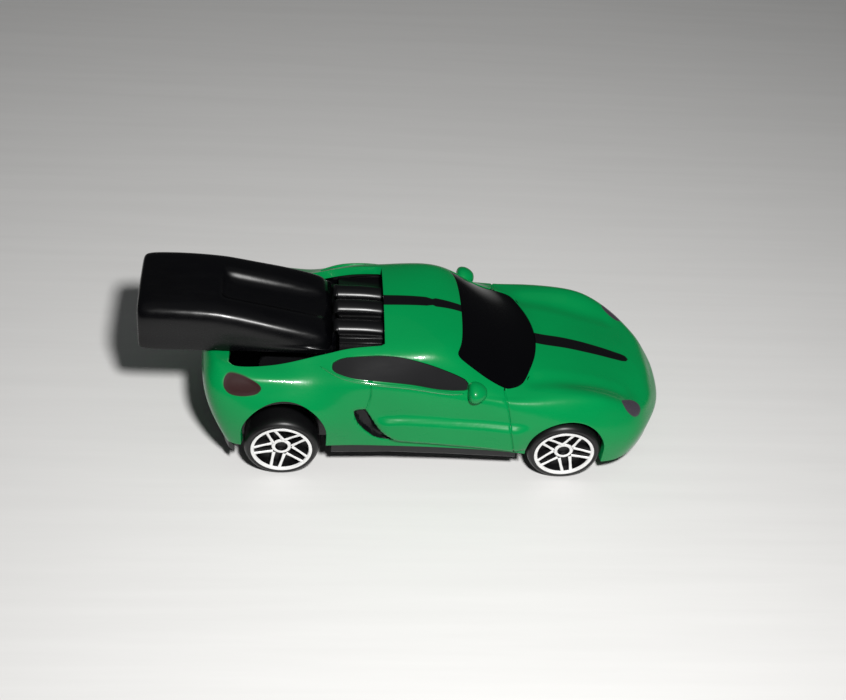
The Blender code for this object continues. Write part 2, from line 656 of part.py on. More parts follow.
def build_screw(name, x, y, z, down, mat):
    """Pan-head screw with a cross recess; the head is at z and the shank points away from it."""
    s = -1 if down else 1
    profile = [(0, 0), (1.0, 0.12), (1.35, 0.6), (1.35, 1.0), (0.72, 1.0), (0.72, 4.7),
               (0, 5.2)]
    verts = []
    faces = []
    rows = []
    count = 12
    for radius, h in profile:
        if radius < 1e-9:
            rows.append([len(verts)] * count)
            verts.append((x, y, z + s * h))
            continue
        rows.append(list(range(len(verts), len(verts) + count)))
        verts += [(px, py, z + s * h) for px, py in circle(x, y, radius, count)]
    for a, b in zip(rows, rows[1:]):
        for j in range(count):
            k = (j + 1) % count
            faces.append(list(dict.fromkeys((a[j], a[k], b[k], b[j]))))
    screw = make(name, verts, faces, mat, (x, y, z))
    low, high = sorted((z - s * 0.5, z + s * 0.45))
    cut(screw, box("cut", x - 0.75, x + 0.75, y - 0.15, y + 0.15, low, high))
    cut(screw, box("cut", x - 0.15, x + 0.15, y - 0.75, y + 0.75, low, high))
    smooth(screw, 30)


# ---------------------------------------------------------------- lever and its hinge
LEVER_STATIONS = [
    # x, ridge height, ridge half width, channel depth, bottom
    (-20.45, 23.9, 5.7, 0.0, 19.6), (-20.3, 24.6, 6.1, 0.0, 19.0), (-19.6, 24.95, 6.25, 0.0, 18.85),
    (-16.0, 25.03, 6.3, 0.0, 18.9), (-13.0, 24.9, 6.3, 0.0, 18.9), (-10.8, 24.65, 6.4, 0.0, 18.9),
    (-9.8, 24.5, 6.4, 0.7, 18.9), (-7.0, 23.95, 6.6, 1.0, 18.9), (-4.0, 23.25, 6.85, 1.0, 18.9),
    (-1.0, 22.6, 7.0, 1.0, 18.95), (2.0, 22.0, 7.1, 0.9, 18.9), (4.8, 21.4, 7.15, 0.8, 18.7),
    (5.8, 21.0, 7.1, 0.7, 18.6), (6.5, 20.35, 6.9, 0.4, 18.6), (6.9, 19.6, 6.6, 0.1, 18.65),
    (7.1, 18.95, 6.2, 0.0, 18.75)]


def lever_ring(x, ridge, w, channel, low):
    """Half outline from the channel floor over the ridge and down the side to the flared edge."""
    crown = ridge + 0.3
    half = [(0.0, crown - channel), (2.9, crown - channel), (4.2, crown - 0.15 * channel),
            (w - 0.9, crown), (w, ridge), (w + 0.35, ridge - 0.9),
            (w + 0.45, 0.35 * ridge + 0.65 * low), (w + 1.0, low + 0.8), (w + 1.0, low), (0.0, low)]
    ring = half + [(-y, z) for y, z in reversed(half[1:-1])]
    return [(x, y, z) for y, z in ring]


def build_lever(mat):
    cx, cz = LEVER_XZ
    rings = [lever_ring(*s) for s in LEVER_STATIONS]
    lever = loft("lever", rings, mat, (cx, 0.0, cz))
    for x0, x1, half, top in ((-19.2, -11.9, 5.6, 23.9), (-12.0, -8.5, 5.7, 22.6),
                              (-8.6, -4.5, 5.9, 21.5), (-4.6, -0.4, 6.1, 20.6),
                              (-0.5, 6.0, 6.2, 19.7)):
        cut(lever, box("cut", x0, x1, -half, half, 17, top))
    add(lever, prism_y("barrel", circle(cx, cz, LEVER_R, 24), -4.1, 4.1))
    for y in (-3.4, 3.4):
        add(lever, box("web", cx - 1.2, cx + 1.2, y - 0.5, y + 0.5, cz, 20.2))
    for x in (-11.5, -5.0):
        add(lever, box("web", x - 0.5, x + 0.5, -6.0, 6.0, 19.6, 22.0))
    cut(lever, bore_y(cx, cz, 0.82))
    smooth(lever, 35)
    return lever


def rib(y, width, crest):
    """Rounded lengthwise rib with a rounded rear end."""
    rings = []
    for x, rise in ((7.9, 0.3), (8.05, 0.6), (8.5, 0.82), (9.3, 0.95), (11.0, 1.0), (13.0, 0.92),
                    (14.3, 0.8)):
        top = 19.6 + (crest - 19.6) * rise
        half = width / 2 * min(1.0, 0.55 + 0.6 * rise)
        ring = [(y + half, 19.3), (y + half, top - 0.75)]
        ring += [(y + half * math.cos(a), top - 0.75 + 0.75 * math.sin(a))
                 for a in [math.radians(30 * i) for i in range(1, 6)]]
        ring += [(y - half, top - 0.75), (y - half, 19.3)]
        rings.append([(x, py, pz) for py, pz in ring])
    return loft("rib", rings)


def build_deck(mat):
    deck = box("deck_panel", 8.1, 15.2, -8.7, 8.7, 18.3, 19.2, mat)
    add(deck, box("step", 8.1, 15.2, -5.7, 5.7, 18.8, 19.9))
    for y, crest in ((0, 21.9), (3.8, 21.4), (-3.8, 21.4)):
        add(deck, rib(y, 2.8, crest))
    for side in (1, -1):
        low, high = sorted((side * 6.9, side * 8.1))
        add(deck, box("leg", 8.6, 12.6, low, high, 5.3, 19.0))
    smooth(deck, 30)


def build_pin(mat):
    h = 6.0
    profile = [(0, -h), (0.6, -h), (0.74, -h + 0.15), (0.74, h - 0.15), (0.6, h), (0, h)]
    smooth(lathe_y("lever_pin", profile, 20, mat, LEVER_XZ))


# ---------------------------------------------------------------- everything
def build_all():
    for obj in list(bpy.data.objects):
        bpy.data.objects.remove(obj)
    mats = {
        "body": material("body_green", (0.0, 0.32, 0.07), 0.22),
        "glass": material("window_black", (0.006, 0.006, 0.008), 0.12),
        "chassis": material("chassis_black", (0.012, 0.012, 0.013), 0.45),
        "deck": material("deck_black", (0.01, 0.01, 0.011), 0.4),
        "lever": material("lever_black", (0.006, 0.006, 0.007), 0.2),
        "wheel": material("wheel_black", (0.01, 0.01, 0.011), 0.35),
        "steel": material("steel", (0.62, 0.62, 0.64), 0.3, 1.0),
        "spring": material("spring_steel", (0.3, 0.31, 0.34), 0.35, 1.0),
        "case": material("motor_grey", (0.2, 0.2, 0.21), 0.45),
        "gear": material("gear_white", (0.75, 0.74, 0.7), 0.4),
        "screw": material("screw_steel", (0.5, 0.5, 0.52), 0.35, 1.0),
    }
    build_body(mats["body"])
    build_glazing(mats["glass"])
    build_chassis(mats["chassis"])
    build_deck(mats["deck"])
    build_lever(mats["lever"])
    build_pin(mats["steel"])
    for end, cx in (("rear", 0.0), ("front", WHEELBASE)):
        build_axle(end + "_axle", cx, mats["steel"])
        build_wheel("wheel_" + end + "_left", cx, 1, mats["wheel"])
        build_wheel("wheel_" + end + "_right", cx, -1, mats["wheel"])
    build_case("motor_case_left", 1, mats["case"])
    build_case("motor_case_right", -1, mats["case"])
    build_gears(mats)
    build_mainspring(mats["spring"])
    build_screw("body_screw_front", 51.3, 0.0, 3.7, False, mats["screw"])
    build_screw("body_screw_rear_left", POST_X, 6.0, 3.7, False, mats["screw"])
    build_screw("body_screw_rear_right", POST_X, -6.0, 3.7, False, mats["screw"])
    build_screw("motor_screw_left", 21.4, 3.5, 7.6, True, mats["screw"])
    build_screw("motor_screw_right", 21.4, -3.5, 7.6, True, mats["screw"])


build_all()
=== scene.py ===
"""Looks of the pull-back toy coupe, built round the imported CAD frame.

Shapes are worked out in car millimetres: X forward from the rear axle, Y to the left, Z up from
the ground. place() turns them into the frame's metres.
"""
import math

import bmesh
import bpy
import numpy as np
from mathutils import Matrix, Vector


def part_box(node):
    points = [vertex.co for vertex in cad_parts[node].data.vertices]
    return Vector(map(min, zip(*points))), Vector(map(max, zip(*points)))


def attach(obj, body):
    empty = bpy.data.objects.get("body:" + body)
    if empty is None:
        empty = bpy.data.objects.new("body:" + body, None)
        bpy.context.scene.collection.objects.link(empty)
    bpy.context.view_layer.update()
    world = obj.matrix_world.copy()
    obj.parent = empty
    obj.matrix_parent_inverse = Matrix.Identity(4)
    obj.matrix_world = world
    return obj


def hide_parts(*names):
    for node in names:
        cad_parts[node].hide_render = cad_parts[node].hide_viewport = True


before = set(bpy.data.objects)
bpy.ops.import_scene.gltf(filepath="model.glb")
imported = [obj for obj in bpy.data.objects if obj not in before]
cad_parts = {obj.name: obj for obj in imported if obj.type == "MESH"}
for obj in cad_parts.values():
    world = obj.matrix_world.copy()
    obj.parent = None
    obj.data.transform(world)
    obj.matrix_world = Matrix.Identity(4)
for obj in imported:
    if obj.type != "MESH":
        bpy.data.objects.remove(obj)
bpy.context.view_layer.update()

MM = 0.001
AXLE_LOW, AXLE_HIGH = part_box("rear_axle")
AXLE = (AXLE_LOW + AXLE_HIGH) / 2
FRONT_LOW, FRONT_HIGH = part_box("front_axle")
WHEELBASE = ((FRONT_LOW + FRONT_HIGH) / 2 - AXLE).x / MM
WHEEL_R = AXLE.z / MM
LEVER_XZ = (4.6, 17.9)


def place(points):
    """Car millimetres to frame metres."""
    return np.asarray(points, float) * MM + np.array([AXLE.x, 0.0, 0.0])


# ---------------------------- body surface
# Eight lengthwise rails of the body, from the lower edge to the centre line of the roof.
# Each rail runs from the middle of the tail, round the left side, to the middle of the nose.
RAILS = [
    [(-10.3, 0, 5.8), (-10, 7, 5.8), (-8.7, 12, 6), (-7.2, 14.3, 6.3), (-3.5, 15, 6.5),
     (0.6, 15.1, 6.6), (5, 15, 6.7), (10, 14.8, 6.8), (15, 14.7, 6.7), (20.5, 14.6, 6.5),
     (25.5, 14.6, 6.3), (30, 14.6, 6), (34, 14.7, 5.7), (38, 14.8, 5.2), (42.4, 14.9, 4.6),
     (47, 14.7, 3.8), (50.8, 13.7, 3.4), (53.6, 11.6, 3.4), (56.2, 7.9, 3.3), (57.4, 4.1, 3.2),
     (57.8, 0, 3.2)],
    [(-11.3, 0, 8.5), (-11, 7.2, 8.5), (-9.6, 12.4, 8.8), (-7.7, 14.6, 9), (-3.5, 15.3, 9.2),
     (0.6, 15.4, 9.3), (5, 15.3, 9.2), (10, 14.9, 9), (15, 14.6, 8.8), (20.5, 14.4, 8.7),
     (25.5, 14.3, 8.6), (30, 14.4, 8.5), (34, 14.7, 8.3), (38, 15, 8), (42.4, 15.1, 7.6),
     (47, 14.9, 6.6), (51, 13.9, 5.9), (54, 11.9, 5.5), (56.35, 8, 5.2), (58, 4.2, 5.1),
     (58.4, 0, 5)],
    [(-12, 0, 12), (-11.7, 7.2, 12), (-10.5, 12.4, 12.3), (-8, 14.6, 12.6), (-3.5, 15.3, 13),
     (0.6, 15.4, 13.2), (5, 15.2, 13), (10, 14.7, 12.6), (15, 14.3, 12.2), (20.5, 14.1, 12),
     (25.5, 14, 11.8), (30, 14.1, 11.6), (34, 14.4, 11.5), (38, 14.8, 11.4), (42.4, 14.9, 11.2),
     (47, 14.7, 9.8), (51.2, 13.6, 8.6), (54.3, 11.6, 7.8), (56.65, 8, 7.1), (58.2, 4.1, 6.8),
     (58.6, 0, 6.6)],
    [(-12.1, 0, 15.5), (-11.8, 7, 15.5), (-10.8, 12.1, 15.9), (-7.9, 13.9, 16.4),
     (-3.5, 14.5, 16.9), (0.6, 14.7, 17.2), (5, 14.5, 17.2), (10, 14, 16.9),
     (15, 13.7, 16.4), (20.5, 13.5, 15.8), (25.5, 13.4, 15.2), (30, 13.4, 14.7), (34, 13.6, 14.4),
     (38, 13.7, 14.3), (42.4, 13.6, 13.9), (47, 13.2, 12.9), (51.1, 12.2, 11.3),
     (54.1, 10.6, 9.8), (56.25, 7.6, 8.7), (57.8, 4, 8.2), (58.2, 0, 8)],
    [(-11.6, 0, 17.4), (-11.5, 6.5, 17.4), (-10.3, 10.9, 17.8), (-7.8, 12.6, 18.3),
     (-3.5, 13.4, 18.8), (0.6, 13.5, 19), (5, 13.2, 19), (10, 12.9, 18.8),
     (15, 12.8, 18.3), (20.5, 12.7, 17.5), (25.5, 12.6, 16.5), (30, 12.5, 15.5), (34, 12.4, 15),
     (38, 12.2, 15.2), (42.4, 11.9, 15.3), (47, 11.6, 14.6), (51, 10.7, 12.6), (53.8, 9.3, 10.88),
     (56, 6.9, 9.9), (57.1, 3.8, 9.2), (57.4, 0, 9)],
    [(-11, 0, 18.2), (-10.9, 5.5, 18.2), (-9.9, 9.2, 18.8), (-7.8, 10.6, 19.1),
     (-3.5, 11.2, 19.4), (0.6, 11.2, 19.8), (5, 10.9, 20.4), (10, 10.8, 20.9),
     (15, 10.8, 20.9), (20.5, 10.8, 20.65), (25, 10.6, 19.85), (29.2, 10.9, 17.1),
     (33.2, 11.3, 15.3), (38, 9.8, 15.4), (42.4, 9, 14.9), (46.8, 8.6, 13.9), (50.6, 7.9, 12.4),
     (53.2, 7, 11.18), (55.3, 5.4, 10.6), (56.3, 3, 10.1), (56.6, 0, 10)],
    [(-10.2, 0, 18.4), (-10.1, 3.6, 18.4), (-9.3, 6.4, 18.5), (-7.6, 7.2, 18.6),
     (-3.5, 7.4, 19.6), (0.6, 7.4, 20.6), (5, 7.4, 21.5), (10, 7.5, 22), (15, 7.5, 22.1),
     (20.5, 7.3, 22.1), (25.2, 7, 21.2), (29.9, 6.7, 18.7), (34.4, 7, 16.2), (38.6, 5.6, 15.3),
     (42.4, 5.2, 14.7), (46.6, 4.9, 13.6), (50.2, 4.4, 12.4), (52.6, 3.8, 11.6), (54.4, 2.9, 11),
     (55.2, 1.6, 10.8), (55.5, 0, 10.7)],
    [(-9.6, 0, 18.45), (-9.2, 0, 18.45), (-8.5, 0, 18.5), (-7, 0, 18.7), (-3.3, 0, 19.8),
     (0.6, 0, 20.8), (5, 0, 21.8), (10, 0, 22.4), (15, 0, 22.6), (20.5, 0, 22.5), (25.6, 0, 21.5),
     (30.6, 0, 19.1), (35, 0, 16.8), (38.9, 0, 15.35), (42.4, 0, 14.75), (46.2, 0, 13.8),
     (49.4, 0, 12.8), (51.6, 0, 12), (53.2, 0, 11.5), (54, 0, 11.25), (54.4, 0, 11.1)],
]

# How far the rear haunch is drawn in. By rail, counted from 0: the drop of its points from
# HAUNCH_FIRST on.
HAUNCH_FIRST = 3
HAUNCH_DROPS = {3: (0.15, 0.75, 1.0, 0.95, 0.2), 4: (0.3, 0.85, 1.2, 1.15, 0.25),
                5: (0.3, 0.9, 1.2, 1.15, 0.55, 0.3), 6: (0, 0.5, 0.8, 0.6, 0.4, 0.3)}
INWARD_PER_DROP = 1.05

# Outlines in side view (x, z) or plan (x, y).
SIDE_WINDOW = [(7.0, 19.15), (7.4, 19.6), (9.1, 20.25), (12, 20.7), (15, 20.85), (18, 20.75),
               (21.2, 20.15), (24, 19.1), (26, 18.1), (26.9, 17.4), (26.9, 16.7), (26.4, 16.4),
               (22.6, 16.8), (18.3, 17.7), (13, 18.4), (8.9, 18.6), (7.3, 18.75)]
WINDSCREEN = [(26.3, 0), (26.2, 4), (25.9, 7), (25.2, 9.2), (25.9, 9.8), (29, 10.4), (32.4, 11.0),
              (33.4, 10.9), (35.3, 9.8), (36.8, 6.8), (37.9, 3.5), (38.3, 0)]
HATCH = [(-7.8, 0), (-7.8, 9.9), (-7.0, 10.6), (-5.5, 10.7), (-3.6, 10.5), (-1.6, 10.2),
         (0.4, 9.85), (2.4, 9.5), (4.5, 9.25), (6.8, 9.15), (9, 9.0), (11.8, 8.85), (14.6, 8.65),
         (14.6, 0)]
INTAKE = [(10.2, 13.9), (12.2, 13.9), (12.9, 12.6), (13.7, 11.2), (14.7, 10.0), (16.6, 8.6),
          (17.4, 8.0), (15.6, 7.8), (14.0, 8.2), (12.4, 9.4), (11.1, 11.0), (10.4, 12.7)]
TAIL_LAMP = [(-8.4, 17.4), (-8.2, 18.05), (-7.5, 18.4), (-5.8, 18.25), (-4.4, 17.9), (-3.4, 17.4),
             (-3.0, 16.8), (-3.5, 16.2), (-4.4, 15.95), (-5.9, 15.85), (-7.4, 16.1), (-8.2, 16.75)]
HEAD_LAMP = [(50.6, 10.5), (51.7, 9.5), (52.9, 9.0), (53.8, 9.3), (54.0, 10.1), (53.5, 11.0),
             (52.5, 11.6), (51.2, 11.5)]
BONNET_STRIPE = [(37.6, 1.15), (42, 1.15), (46, 1.1), (50, 0.95), (52.4, 0.8), (53.1, 0.6),
                 (53.5, 0.0)]
ROOF_STRIPE = [(13.5, 1.1), (18, 1.05), (21.3, 0.97), (21.6, 0.7), (22.1, 0.7), (22.4, 0.94), (25, 0.8),
               (27.5, 0.75)]
REAR_ARCH = (0.3, 9.05, 6.25)
FRONT_ARCH = (42.4, 6.2, 6.0)
VALANCE = (-9.2, 4.4, 8.3)


def shaped_rails():
    """Rails with the haunch points moved down by their drop and inward by a little more."""
    rails = [list(rail) for rail in RAILS]
    for number, drops in HAUNCH_DROPS.items():
        for place_in_rail, drop in enumerate(drops, start=HAUNCH_FIRST):
            x, y, z = rails[number][place_in_rail]
            rails[number][place_in_rail] = (x, round(y - INWARD_PER_DROP * drop, 2), round(z - drop, 2))
    return rails


def ghost(net):
    """Net with one more row on each side, mirrored in the centre plane where it meets it."""
    flip = np.array([1.0, -1.0, 1.0])
    net = np.concatenate([net[1:2] * flip, net, net[-2:-1] * flip], 0)
    low = 2 * net[:, :1] - net[:, 1:2]
    return np.concatenate([low, net, net[:, -2:-1] * flip], 1)


def on_knots(net):
    """Points of the cubic surface at the corners of its patches."""
    full = ghost(net)
    rows = (full[:-2] + 4 * full[1:-1] + full[2:]) / 6
    return (rows[:, :-2] + 4 * rows[:, 1:-1] + rows[:, 2:]) / 6


def control_net(points, rounds=4):
    """Control points of a cubic surface that passes through the given points."""
    net = points.copy()
    for _ in range(rounds):
        net = net + (points - on_knots(net))
    return ghost(net)


def weights(t):
    """Cubic B-spline weights of four neighbours."""
    return np.stack([(1 - t) ** 3, 3 * t ** 3 - 6 * t ** 2 + 4,
                     -3 * t ** 3 + 3 * t ** 2 + 3 * t + 1, t ** 3], -1) / 6


def slopes(t):
    """Derivatives of the weights."""
    return np.stack([-3 * (1 - t) ** 2, 9 * t ** 2 - 12 * t, -9 * t ** 2 + 6 * t + 3,
                     3 * t ** 2], -1) / 6


POINTS = np.array(shaped_rails(), float).transpose(1, 0, 2)
NET = control_net(POINTS)
LAST_U = POINTS.shape[0] - 1
LAST_V = POINTS.shape[1] - 1


def surface(u, v, along=weights, across=weights):
    """Surface points for matching arrays of u and v."""
    iu = np.clip(np.floor(u).astype(int), 0, NET.shape[0] - 4)
    iv = np.clip(np.floor(v).astype(int), 0, NET.shape[1] - 4)
    wu = along(u - iu)
    wv = across(v - iv)
    out = 0
    for a in range(4):
        for b in range(4):
            out = out + (wu[..., a] * wv[..., b])[..., None] * NET[iu + a, iv + b]
    return out


def skin(u, v):
    """Outer skin, with its edge rows exactly on the centre plane."""
    out = surface(u, v)
    seam = (u <= 0) | (u >= LAST_U) | (v >= LAST_V)
    out[seam, 1] = 0
    return out


SEAM_MARGIN = 0.12


def inward(u, v):
    """Unit normal into the body; at the seams it is read a little inside them."""
    uu = np.clip(u, SEAM_MARGIN, LAST_U - SEAM_MARGIN)
    vv = np.clip(v, 0.0, LAST_V - SEAM_MARGIN)
    normal = np.cross(surface(uu, vv, slopes, weights), surface(uu, vv, weights, slopes))
    seam = (u <= 0) | (u >= LAST_U) | (v >= LAST_V)
    normal[seam, 1] = 0
    return normal / np.linalg.norm(normal, axis=-1, keepdims=True)


# ---------------------------- outlines and distances
TINY = 1e-12
FAR = 99.0


def curve_through(points, sharp=(), closed=True, steps=8):
    """Catmull-Rom curve through points; it breaks at the sharp ones."""
    pts = np.array(points, float)
    n = len(pts)
    out = []
    for i in range(n if closed else n - 1):
        a = pts[i]
        b = pts[(i + 1) % n]
        before = pts[i - 1] if (closed or i > 0) and i not in sharp else a
        after = pts[(i + 2) % n] if (closed or i + 2 < n) and (i + 1) % n not in sharp else b
        for t in np.arange(steps) / steps:
            h = np.array([2 * t ** 3 - 3 * t ** 2 + 1, t ** 3 - 2 * t ** 2 + t,
                          -2 * t ** 3 + 3 * t ** 2, t ** 3 - t ** 2])
            out.append(h[0] * a + h[1] * (b - before) / 2 + h[2] * b + h[3] * (after - a) / 2)
    if not closed:
        out.append(pts[-1])
    return np.array(out)


def line_distance(p, line, closed=True):
    """Distance of each 2-D point from a polyline."""
    a = line if closed else line[:-1]
    b = np.roll(line, -1, 0) if closed else line[1:]
    best = np.full(len(p), 1e9)
    for start, end in zip(a, b):
        d = end - start
        t = np.clip(((p - start) @ d) / max(TINY, d @ d), 0, 1)
        best = np.minimum(best, np.linalg.norm(p - start - t[:, None] * d, axis=1))
    return best


def area_distance(p, line):
    """Signed distance of each 2-D point from a closed outline, negative inside."""
    inside = np.zeros(len(p), bool)
    for a, b in zip(line, np.roll(line, -1, 0)):
        crosses = (a[1] > p[:, 1]) != (b[1] > p[:, 1])
        rise = b[1] - a[1] if abs(b[1] - a[1]) > TINY else TINY
        inside ^= crosses & (p[:, 0] < (b[0] - a[0]) * (p[:, 1] - a[1]) / rise + a[0])
    return np.where(inside, -1, 1) * line_distance(p, line)


def both(points):
    """Half outline in plan, closed by its mirror image."""
    return points + [(x, -y) for x, y in reversed(points) if abs(y) > 1e-9]


def near(value, low, high, other):
    """value, or a large number where other lies outside low..high."""
    return np.where((other > low) & (other < high), value, FAR)


SIDE_LINE = curve_through(SIDE_WINDOW)
SCREEN_LINE = curve_through(both(WINDSCREEN), sharp=(3, 6, 16, 19))
HATCH_LINE = curve_through(both(HATCH), sharp=(12, 14, 1, 25))
INTAKE_LINE = curve_through(INTAKE, sharp=(0, 1, 6))
TAIL_LINE = curve_through(TAIL_LAMP)
HEAD_LINE = curve_through(HEAD_LAMP)


def side_window(p):
    """Distance from the outline in side view, for points of the side."""
    return near(area_distance(p[:, [0, 2]], SIDE_LINE), 7.0, FAR, np.abs(p[:, 1]))


def windscreen(p):
    """Distance from the outline in plan, for points high on the body."""
    return near(area_distance(p[:, :2], SCREEN_LINE), 13.5, FAR, p[:, 2])


def hatch(p):
    """Distance from the tail opening's outline in plan, for points high on the body."""
    return near(area_distance(p[:, :2], HATCH_LINE), 15.0, FAR, p[:, 2])


def arch(p, centre):
    """Wheel opening: round above its centre, straight down to the lower edge."""
    cx, cz, radius = centre
    side = np.abs(p[:, 0] - cx) - radius
    round_part = np.hypot(p[:, 0] - cx, p[:, 2] - cz) - radius
    value = np.where(p[:, 2] < cz, side, round_part)
    return near(value, 9.0, FAR, np.abs(p[:, 1]))


def valance_notch(p):
    """Gap in the tail's lower edge where the base plate shows."""
    x, y, z = VALANCE
    return np.maximum(np.maximum(p[:, 0] - x, np.abs(p[:, 1]) - y), p[:, 2] - z)


def openings(p):
    """Negative inside any opening of the shell."""
    parts = [side_window(p), windscreen(p), hatch(p), arch(p, REAR_ARCH), arch(p, FRONT_ARCH),
             valance_notch(p)]
    return np.minimum.reduce(parts)


# ---------------------------- trimmed surface patches
def roots(field, ua, va, fa, ub, vb, fb):
    """Where the field crosses zero between matching pairs of (u, v)."""
    for _ in range(5):
        t = fa / (fa - fb)
        um = ua + (ub - ua) * t
        vm = va + (vb - va) * t
        fm = field(skin(um, vm))
        same = (fm > 0) == (fa > 0)
        ua, va, fa = np.where(same, um, ua), np.where(same, vm, va), np.where(same, fm, fa)
        ub, vb, fb = np.where(same, ub, um), np.where(same, vb, vm), np.where(same, fb, fm)
        fa = np.where(fa == 0, TINY, fa)
        fb = np.where(fb == 0, -TINY * np.sign(fa), fb)
    return um, vm


def shifted(values, di, dj, fill):
    """Grid of each cell's neighbour."""
    out = np.full_like(values, fill)
    ni, nj = values.shape
    i0, i1 = max(0, -di), min(ni, ni - di)
    j0, j1 = max(0, -dj), min(nj, nj - dj)
    out[i0:i1, j0:j1] = values[i0 + di:i1 + di, j0 + dj:j1 + dj]
    return out


SNAP_REACH = 0.34


def snap(field, uu, vv, f):
    """Slide grid points that lie close to the cut onto it, along a grid line."""
    best = np.full(f.shape, SNAP_REACH)
    target = np.zeros(f.shape, int)
    ways = [(1, 0), (-1, 0), (0, 1), (0, -1)]
    for k, (di, dj) in enumerate(ways):
        other = shifted(f, di, dj, np.nan)
        with np.errstate(invalid="ignore", divide="ignore"):
            t = f / (f - other)
            ok = (f * other < 0) & (t < best)
        if dj:
            ok[:, -1] = False
            ok[:, 0] = False
        else:
            ok[0] = False
            ok[-1] = False
        best = np.where(ok, t, best)
        target = np.where(ok, k + 1, target)
    for k, (di, dj) in enumerate(ways):
        i, j = np.nonzero(target == k + 1)
        if len(i):
            um, vm = roots(field, uu[i, j], vv[i, j], f[i, j], uu[i + di, j + dj],
                           vv[i + di, j + dj], f[i + di, j + dj])
            uu[i, j], vv[i, j] = um, vm
    f[target > 0] = 0.0
    return uu, vv, f


def trim(u, v, field):
    """Grid over u and v, cut away along the line where the field turns negative."""
    uu, vv = np.meshgrid(u, v, indexing="ij")
    shape = uu.shape
    f = field(skin(uu.ravel(), vv.ravel())).reshape(shape)
    uu, vv, f = snap(field, uu.copy(), vv.copy(), f)
    number = np.arange(uu.size).reshape(shape)
    extra = {}
    add_u, add_v = [], []
    for di, dj in ((1, 0), (0, 1)):
        other = shifted(f, di, dj, np.nan)
        i, j = np.nonzero(f * other < 0)
        if len(i) == 0:
            continue
        um, vm = roots(field, uu[i, j], vv[i, j], f[i, j], uu[i + di, j + dj], vv[i + di, j + dj],
                       f[i + di, j + dj])
        for a, b, x, y in zip(number[i, j], number[i + di, j + dj], um, vm):
            extra[(min(a, b), max(a, b))] = uu.size + len(add_u)
            add_u.append(x)
            add_v.append(y)
    flat = f.ravel()
    corners = np.stack([number[:-1, :-1], number[1:, :-1], number[1:, 1:], number[:-1, 1:]], -1)
    corners = corners.reshape(-1, 4)
    signs = np.sign(flat[corners])
    whole = (signs >= 0).all(1) & (signs > 0).any(1)
    mixed = (signs > 0).any(1) & (signs < 0).any(1)
    faces = [tuple(c) for c in corners[whole]]
    for cell in corners[mixed]:
        ring = []
        for k in range(4):
            a, b = cell[k], cell[(k + 1) % 4]
            if flat[a] >= 0:
                ring.append(a)
            if flat[a] * flat[b] < 0:
                ring.append(extra[(min(a, b), max(a, b))])
        if len(ring) > 2:
            faces.append(tuple(ring))
    all_u = np.concatenate([uu.ravel(), add_u])
    all_v = np.concatenate([vv.ravel(), add_v])
    used = np.unique(np.concatenate([np.array(face) for face in faces]))
    renumber = np.full(len(all_u), -1)
    renumber[used] = np.arange(len(used))
    return all_u[used], all_v[used], [tuple(int(renumber[k]) for k in face) for face in faces]


def mirrored(points, faces):
    """Add the right half and share the points on the centre plane. Returns source indices too."""
    n = len(points)
    seam = np.abs(points[:, 1]) < 1e-6
    partner = np.where(seam, np.arange(n), n + np.cumsum(~seam) - 1)
    source = np.concatenate([np.arange(n), np.nonzero(~seam)[0]])
    out = points[source].copy()
    out[n:, 1] *= -1
    outward = [tuple(reversed(face)) for face in faces]
    other = [tuple(int(partner[k]) for k in face) for face in faces]
    return out, outward + other, source


# ---------------------------- objects
def mesh_object(name, points, faces, material, body, replaces=()):
    """Smooth-shaded mesh from car millimetres, riding on a body of the frame."""
    mesh = bpy.data.meshes.new(name)
    mesh.from_pydata([tuple(p) for p in place(points)], [], faces)
    mesh.validate()
    mesh.update()
    obj = bpy.data.objects.new(name, mesh)
    bpy.context.scene.collection.objects.link(obj)
    mesh.materials.append(material)
    mesh.shade_smooth()
    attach(obj, body)
    if replaces:
        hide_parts(*replaces)
    return obj


def paint(obj, name, values):
    """Store one number per point, for the material to read."""
    layer = obj.data.attributes.new(name, "FLOAT", "POINT")
    layer.data.foreach_set("value", np.asarray(values, np.float32))


def thicken(obj, amount):
    """Give a skin its wall, inward from the outer face."""
    mod = obj.modifiers.new("wall", "SOLIDIFY")
    mod.thickness = amount * MM
    mod.offset = -1.0
    mod.use_rim = True
    mod.use_even_offset = False


def round_edges(obj, width, degrees=45, segments=2):
    """Small radius on every edge sharper than the given angle."""
    mod = obj.modifiers.new("round", "BEVEL")
    mod.width = width * MM
    mod.segments = segments
    mod.limit_method = "ANGLE"
    mod.angle_limit = math.radians(degrees)
    mod.harden_normals = False
    mod = obj.modifiers.new("shade", "WEIGHTED_NORMAL")
    mod.keep_sharp = True
    mod.weight = 60


